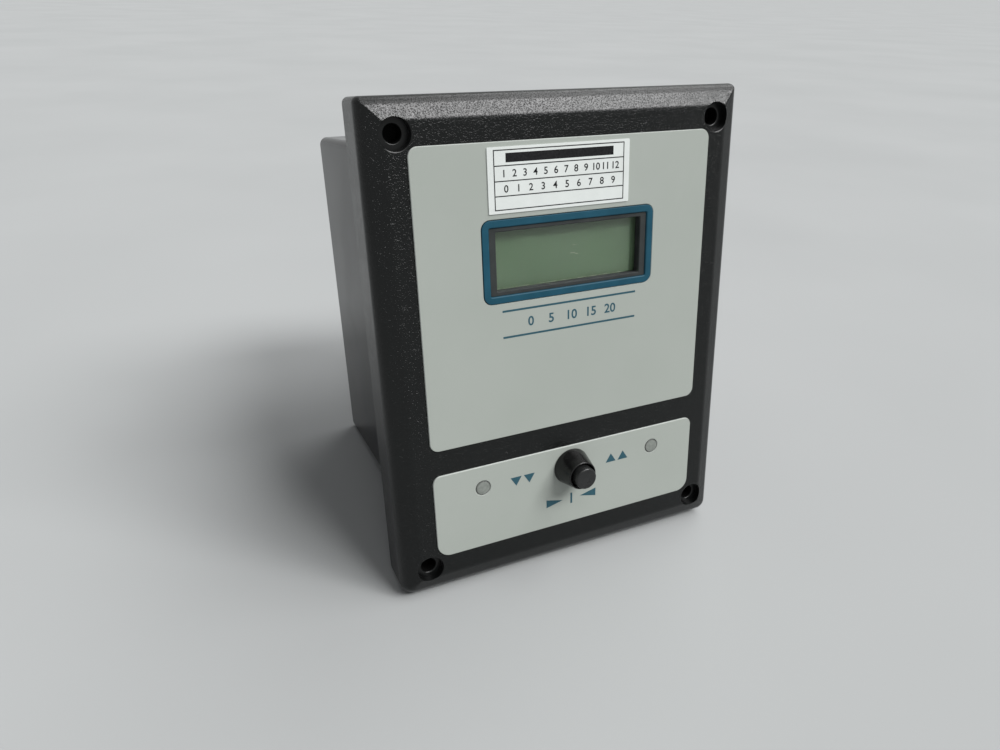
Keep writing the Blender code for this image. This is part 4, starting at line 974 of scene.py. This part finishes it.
# %% [markdown]
# ## Push button
# The set-point button is a turned black cap in a tapered sleeve. Cones and cylinders would leave hard
# edges. Both pieces are round, so a lathe is the natural tool, and small rounds go into the profile of the
# sleeve's rim and the cap's edge, because that is where the real one shows its bright arcs.

# %% Button sleeve
CAP_RADIUS = 3.7
CAP_GAP = 0.75
SLEEVE_WALL = 0.45
SLEEVE_FLARE = 0.3
SLEEVE_BASE = (button_high.x - button_low.x) / 2 + SLEEVE_FLARE
SLEEVE_BORE = CAP_RADIUS + CAP_GAP
SLEEVE_TOP = SLEEVE_BORE + SLEEVE_WALL
SLEEVE_ROUND = 0.3
SLEEVE_STEP = -4.25
SLEEVE_RISE = 0.15
FOOT_GAP = 0.02
FOOT_CHAMFER = 0.15
BORE_CHAMFER = 0.1
sleeve_front, sleeve_back = button_low.y - SLEEVE_RISE, FACE_Y - FOOT_GAP


def rounded(radius, front, turn, steps=6):
    """Profile points of a round front edge."""
    return [(radius - turn * (1 - math.sin(math.pi / 2 * step / steps)),
             front + turn * (1 - math.cos(math.pi / 2 * step / steps))) for step in range(steps + 1)]


sleeve = [(SLEEVE_BASE - FOOT_CHAMFER, sleeve_back), (SLEEVE_BASE, sleeve_back - FOOT_CHAMFER)]
sleeve += rounded(SLEEVE_TOP, sleeve_front, SLEEVE_ROUND)[::-1]
sleeve += [(SLEEVE_BORE + BORE_CHAMFER, sleeve_front), (SLEEVE_BORE, sleeve_front + BORE_CHAMFER),
           (SLEEVE_BORE, SLEEVE_STEP), (BUTTON_HOLE, SLEEVE_STEP), (BUTTON_HOLE, sleeve_back)]
settle(piece("button_collar", lathe(sleeve, 0, BUTTON_Z)), [sleeve_satin], ["button_sleeve"])

# %% Button cap
cap_low, cap_high = panel_box("button_cap")
CAP_ROUND = 0.55
CAP_RISE = 0.25
CAP_DISH = ((0, 0.06), (2.2, 0.04), (3.0, 0.0))  # radius and sink
CAP_BACK = -6.35
STEM, COLLAR, COLLAR_THICK = 1.5, 2.3, 1.0
cap_front, collar_front = cap_low.y - CAP_RISE, cap_high.y - COLLAR_THICK
cap = [(radius, cap_front + sink) for radius, sink in CAP_DISH]
cap += rounded(CAP_RADIUS, cap_front, CAP_ROUND)
cap += [(CAP_RADIUS, CAP_BACK), (STEM, CAP_BACK), (STEM, collar_front), (COLLAR, collar_front),
        (COLLAR, cap_high.y), (0, cap_high.y)]
settle(piece("button_head", lathe(cap, 0, BUTTON_Z)), [cap_satin], ["button_cap"],
       body="button")

# %% [markdown]
# ## Return spring
# Behind the cap a small coil spring pushes it back. It shortens when the button is pressed, which no rigid
# piece can do; here it is a wire swept along a coil and tied to the case.

# %% Return spring
spring_low, spring_high = panel_box("button_spring")
SPRING_TURNS = 5
SPRING_POINTS = 24
WIRE = 0.24
WIRE_STEPS = 2
coil_radius = (spring_high.x - spring_low.x) / 2 - WIRE
curve = bpy.data.curves.new("wire", "CURVE")
curve.dimensions = "3D"
curve.bevel_depth = WIRE
curve.bevel_resolution = WIRE_STEPS
curve.use_fill_caps = True
spline = curve.splines.new("POLY")
spline.points.add(SPRING_TURNS * SPRING_POINTS)
first, last = spring_low.y + WIRE, spring_high.y - WIRE
for step, point in enumerate(spline.points):
    angle = 2 * math.pi * step / SPRING_POINTS
    along = first + (last - first) * step / (SPRING_TURNS * SPRING_POINTS)
    point.co = (coil_radius * math.cos(angle), along, BUTTON_Z + coil_radius * math.sin(angle), 1)
wire = bpy.data.objects.new("wire", curve)
bpy.context.scene.collection.objects.link(wire)
coil = shown(wire)
bpy.data.objects.remove(wire, do_unlink=True)
spring = bpy.data.objects.new("return_spring", coil)
bpy.context.scene.collection.objects.link(spring)
spring_wire = finish("spring_wire", (0.56, 0.56, 0.57), 0.28, metallic=1.0)
mottle(spring_wire, (0.44, 0.44, 0.46), size=0.8)
settle(spring, [spring_wire], ["button_spring"])
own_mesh(spring)

# %% [markdown]
# ## Rear terminals
# Wires are clamped at the back under slotted screws, each in its own compartment. The block could stay
# plain, as it is seldom seen, but the back is looked at too: it gets softened barriers, clamp plates and
# turned screw heads.

# %% Terminal strip
POLES = 8
PITCH = 9.5
BARRIER = 1.5
COMPARTMENT = 4.0
STRIP_CORNER = 0.4
STRIP_ROUND = 0.2
WELL_RADIUS, WELL_DEPTH, WELL_STEPS = 1.5, 4.3, 24
poles = [PITCH * (pole - (POLES - 1) / 2) for pole in range(POLES)]
floor = block_high.y - COMPARTMENT
strip_outline = outline(BLOCK.x, BLOCK.z, STRIP_CORNER, z=BLOCK_Z)
strip = piece("terminal_strip", plate(strip_outline, block_low.y, block_high.y))
cells = [outline(PITCH - BARRIER, BLOCK.z - 2 * BARRIER, STRIP_CORNER, x=x, z=BLOCK_Z) for x in poles]
carve(strip, together([plate(points, floor, block_high.y + CORE_REACH) for points in cells]))
wells = [disc(WELL_RADIUS, x, BLOCK_Z, WELL_STEPS) for x in poles]
carve(strip, together([plate(points, floor - WELL_DEPTH, floor + CORE_REACH) for points in wells]))
soften(strip, STRIP_ROUND, lambda a, b: min(a.y, b.y) > block_high.y - TOUCH)
terminal_mould = finish("terminal_mould", (0.020, 0.020, 0.021), 0.38)
mottle(terminal_mould, (0.028, 0.028, 0.029), size=4)
relief(terminal_mould, size=0.5, depth=0.01)
settle(strip, [terminal_mould], ["terminal_block"])

# %% Clamp plates
CLAMP = (6.8, 8.6, 0.4)  # width, height and corner
CLAMP_BACK, CLAMP_FRONT = 0.02, 0.26
CLAMP_HOLE = 1.45
screw_zinc = finish("screw_zinc", (0.60, 0.60, 0.58), 0.27, metallic=1.0)
mottle(screw_zinc, (0.48, 0.49, 0.48), size=1.2)
uneven_gloss(screw_zinc, least=0.2, most=0.38, size=0.8)
clamps = [outline(*CLAMP, x=x, z=BLOCK_Z) for x in poles]
clamp_plates = piece("clamp_plates", together([plate(points, floor + CLAMP_BACK, floor + CLAMP_FRONT)
                                               for points in clamps]))
clamp_holes = [disc(CLAMP_HOLE, x, BLOCK_Z, WELL_STEPS) for x in poles]
carve(clamp_plates, together([plate(points, floor - CORE_REACH, floor + CORE_REACH)
                              for points in clamp_holes]))
settle(clamp_plates, [screw_zinc])

# %% [markdown]
# ## Screw heads
# Slotted screws with low domed heads clamp the wires and hold the housing's flange. A cylinder with a
# painted line would look flat from the side. One profile on the lathe gives tip, shank and dome, and the
# slot is cut across it, as on the real ones.

# %% Screw heads
SLOT, SLOT_DEPTH = 0.8, 0.9
SHANK = 1.2
TIP_SHARE, TIP_LENGTH = 0.6, 0.5
HEAD, HEAD_SIDE, HEAD_DOME = 1.8, 0.9, 0.75
CROWN = 0.62
DOME_STEPS = 6
SCREW_STEPS = 40
SCREWS = (("terminal_screw_", POLES, 2.9), ("housing_screw_", 4, 2.6))  # name, count and head radius


def slotted_screw(name, radius, x, z, tip_y, top_y):
    """Screw from its tip to the top of its domed head; the slot is left level."""
    seat_y = top_y - HEAD
    profile = [(0, tip_y), (SHANK * TIP_SHARE, tip_y), (SHANK, tip_y + TIP_LENGTH), (SHANK, seat_y),
               (radius, seat_y)]
    for step in range(DOME_STEPS + 1):
        angle = math.pi / 2 * step / DOME_STEPS
        profile.append((radius * (CROWN + (1 - CROWN) * math.cos(angle)),
                        seat_y + HEAD_SIDE + HEAD_DOME * math.sin(angle)))
    profile.append((0, top_y))
    made = piece(name, lathe(profile, x, z, SCREW_STEPS))
    half = radius + CORE_REACH
    carve(made, plate(bar(x - half, x + half, z, SLOT), top_y - SLOT_DEPTH, top_y + CORE_REACH))
    return made


for kind, count, radius in SCREWS:
    for number in range(1, count + 1):
        low, high = panel_box(f"{kind}{number}")
        x, z = (low.x + high.x) / 2, (low.z + high.z) / 2
        made = slotted_screw(f"{kind}{number}_head", radius, x, z, low.y, high.y)
        settle(made, [screw_zinc], [f"{kind}{number}"])

# %% [markdown]
# ## Set-point trimmer
# The set point is adjusted with a screwdriver, on a small brass screw behind a hole in the rear wall. A
# fixed screw would look the same at rest. This one is turned and slotted like the others, but rides on its
# own body, so its slot turns with the joint.

# %% Set-point trimmer
trimmer_slot = finish("trimmer_slot", (0.62, 0.47, 0.20), 0.30, metallic=1.0)
mottle(trimmer_slot, (0.50, 0.37, 0.16), size=0.9)
ROTOR_RADIUS = 1.7
ROTOR_CHAMFER = 0.25
ROTOR_SLOT = 3
profile = [(0, rotor_low.y), (ROTOR_RADIUS, rotor_low.y), (ROTOR_RADIUS, rotor_high.y - ROTOR_CHAMFER),
           (ROTOR_RADIUS - ROTOR_CHAMFER, rotor_high.y), (0, rotor_high.y)]
rotor = piece("trimmer_screw", lathe(profile, ROTOR.x, ROTOR.y, SCREW_STEPS))
carve(rotor, plate(bar(ROTOR.x - ROTOR_SLOT, ROTOR.x + ROTOR_SLOT, ROTOR.y, SLOT), rotor_high.y - SLOT_DEPTH,
                   rotor_high.y + CORE_REACH))
settle(rotor, [trimmer_slot], ["trimmer_rotor"], body="trimmer")

# %% [markdown]
# ## Inside
# Nothing of the inside shows while the case is shut, so its solids keep their shapes. Each still gets the
# finish of the real thing, for whoever takes the model apart: laminate, moulding compound, tape, rubber and
# plated steel.

# %% Finishes of the boards and mouldings inside
board_mask = finish("board_mask", (0.012, 0.085, 0.036), 0.34)
mottle(board_mask, (0.022, 0.135, 0.055), size=3.5, low=0.46, high=0.54)
relief(board_mask, size=3.5, depth=0.02)
chip_mould = finish("chip_mould", (0.018, 0.018, 0.019), 0.5)
mottle(chip_mould, (0.028, 0.028, 0.029), size=1.5)
relief(chip_mould, size=0.4, depth=0.012)
holder_mould = finish("holder_mould", (0.026, 0.026, 0.028), 0.45)
mottle(holder_mould, (0.036, 0.036, 0.038), size=5)
relief(holder_mould, size=0.6, depth=0.012)
seal_rubber = finish("seal_rubber", (0.016, 0.016, 0.016), 0.75)
mottle(seal_rubber, (0.028, 0.028, 0.027), size=2.5)
relief(seal_rubber, size=0.5, depth=0.02)
relay_case = finish("relay_case", (0.030, 0.060, 0.190), 0.32)
mottle(relay_case, (0.040, 0.075, 0.220), size=6)
relief(relay_case, size=0.5, depth=0.008)
lamp_red = finish("lamp_red", (0.30, 0.016, 0.016), 0.18)
mottle(lamp_red, (0.38, 0.024, 0.022), size=2)
trimmer_case = finish("trimmer_case", (0.030, 0.110, 0.380), 0.34)
mottle(trimmer_case, (0.040, 0.130, 0.420), size=3)

# %% Finishes of the wound and wired parts inside
LAYERS = (0.05, 0.05, 1)
CORES = (1, 0.02, 0.02)
core_laminations = finish("core_laminations", (0.20, 0.21, 0.23), 0.45, metallic=0.8)
mottle(core_laminations, (0.10, 0.10, 0.11), size=0.6, low=0.4, high=0.6, stretch=LAYERS)
relief(core_laminations, size=0.6, depth=0.04, stretch=LAYERS)
coil_tape = finish("coil_tape", (0.62, 0.40, 0.07), 0.32)
mottle(coil_tape, (0.50, 0.30, 0.05), size=6, stretch=(1, 0.2, 1))
relief(coil_tape, size=4, depth=0.05, stretch=(0.3, 1, 0.3))
capacitor_sleeve = finish("capacitor_sleeve", (0.020, 0.030, 0.095), 0.26)
mottle(capacitor_sleeve, (0.030, 0.042, 0.120), size=5)
fuse_tube = finish("fuse_tube", (0.72, 0.74, 0.72), 0.12)
mottle(fuse_tube, (0.60, 0.62, 0.61), size=2)
ribbon_grey = finish("ribbon_grey", (0.42, 0.43, 0.44), 0.42)
mottle(ribbon_grey, (0.30, 0.31, 0.32), size=1.27, low=0.45, high=0.55, stretch=CORES)
relief(ribbon_grey, size=1.27, depth=0.15, stretch=CORES)

# %% Dress the inside
dress(["display_board", "main_board"], board_mask)
dress(["meter_chip", "display_header", "main_header", "switch_body", "switch_base"], chip_mould)
dress(["lcd_holder", "fuse_holder"], holder_mould)
dress(["housing_gasket", "zebra_upper", "zebra_lower"], seal_rubber)
dress(["transformer_core"], core_laminations)
dress(["transformer_coil"], coil_tape)
dress(["relay"], relay_case)
dress(["filter_capacitor"], capacitor_sleeve)
dress(["fuse"], fuse_tube)
dress(["ribbon_cable"], ribbon_grey)
dress(["led_low", "led_high"], lamp_red)
dress(["trimmer_body"], trimmer_case)
board_screws = [f"{board}_board_screw_{number}" for board in ("display", "main") for number in range(1, 5)]
dress(board_screws, screw_zinc)

# %% [markdown]
# ## Studio
# The object stands on a plain pale floor that runs out to the horizon, where the background has the same
# tone. Small lamps would leave hard spots on the glossy housing, and near ones would leave the far floor
# dark. Wide suns act as distant softboxes: two window-like panes at the front right that mirror in the
# bezel's top slope, a box above, one behind for the rounded top edge, and a weak fill from the left. What
# the camera and glossy pieces see of the background is set apart from the weak light that it gives.

# %% Floor
floor_pale = finish("floor_pale", (0.405, 0.415, 0.415), 0.8, Specular_IOR_Level=0.0)
mottle(floor_pale, (0.386, 0.396, 0.396), size=300)
FLOOR_HALF = 60.0
bm = bmesh.new()
corners = ((-1, -1), (1, -1), (1, 1), (-1, 1))
bm.faces.new([bm.verts.new((x * FLOOR_HALF, y * FLOOR_HALF, 0)) for x, y in corners])
floor_sheet = piece("floor_sheet", bm)
floor_sheet.data.materials.append(floor_pale)

# %% Lights
def softbox(name, toward, spread, strength):
    """Wide sun that shines from the direction toward."""
    lamp = bpy.data.lights.new(name, "SUN")
    lamp.angle = math.radians(spread)
    lamp.energy = strength
    stand = bpy.data.objects.new(name, lamp)
    bpy.context.scene.collection.objects.link(stand)
    stand.rotation_euler = Vector(toward).to_track_quat("Z", "Y").to_euler()
    print(f"{name}: {strength} W/m2 over {spread} degrees")


softbox("left_pane", (0.282, -0.590, 0.756), spread=18, strength=1.45)
softbox("right_pane", (0.560, -0.506, 0.656), spread=18, strength=1.4)
softbox("top_box", (0.47, -0.16, 0.87), spread=30, strength=1.1)
softbox("rear_box", (0.48, 0.36, 0.80), spread=32, strength=0.8)
softbox("fill_box", (-0.15, -0.45, 0.88), spread=20, strength=0.25)

# %% Background
AMBIENT_COLOR, AMBIENT_STRENGTH = (0.95, 0.97, 1.0, 1), 0.20
BACKDROP_COLOR = (0.50, 0.51, 0.51, 1)
world = bpy.data.worlds.new("studio")
world.use_nodes = True
tree = world.node_tree
ambient = tree.nodes["Background"]
ambient.inputs["Color"].default_value = AMBIENT_COLOR
ambient.inputs["Strength"].default_value = AMBIENT_STRENGTH
backdrop = tree.nodes.new("ShaderNodeBackground")
backdrop.inputs["Color"].default_value = BACKDROP_COLOR
rays = tree.nodes.new("ShaderNodeLightPath")
seen = rays.outputs["Is Camera Ray"]
for ray in ("Is Glossy Ray", "Is Transmission Ray"):
    either = tree.nodes.new("ShaderNodeMath")
    either.operation = "MAXIMUM"
    tree.links.new(seen, either.inputs[0])
    tree.links.new(rays.outputs[ray], either.inputs[1])
    seen = either.outputs["Value"]
choose = tree.nodes.new("ShaderNodeMixShader")
tree.links.new(seen, choose.inputs["Fac"])
tree.links.new(ambient.outputs["Background"], choose.inputs[1])
tree.links.new(backdrop.outputs["Background"], choose.inputs[2])
tree.links.new(choose.outputs["Shader"], tree.nodes["World Output"].inputs["Surface"])
bpy.context.scene.world = world
print(f"backdrop {BACKDROP_COLOR[:3]}, ambient light {AMBIENT_STRENGTH}")
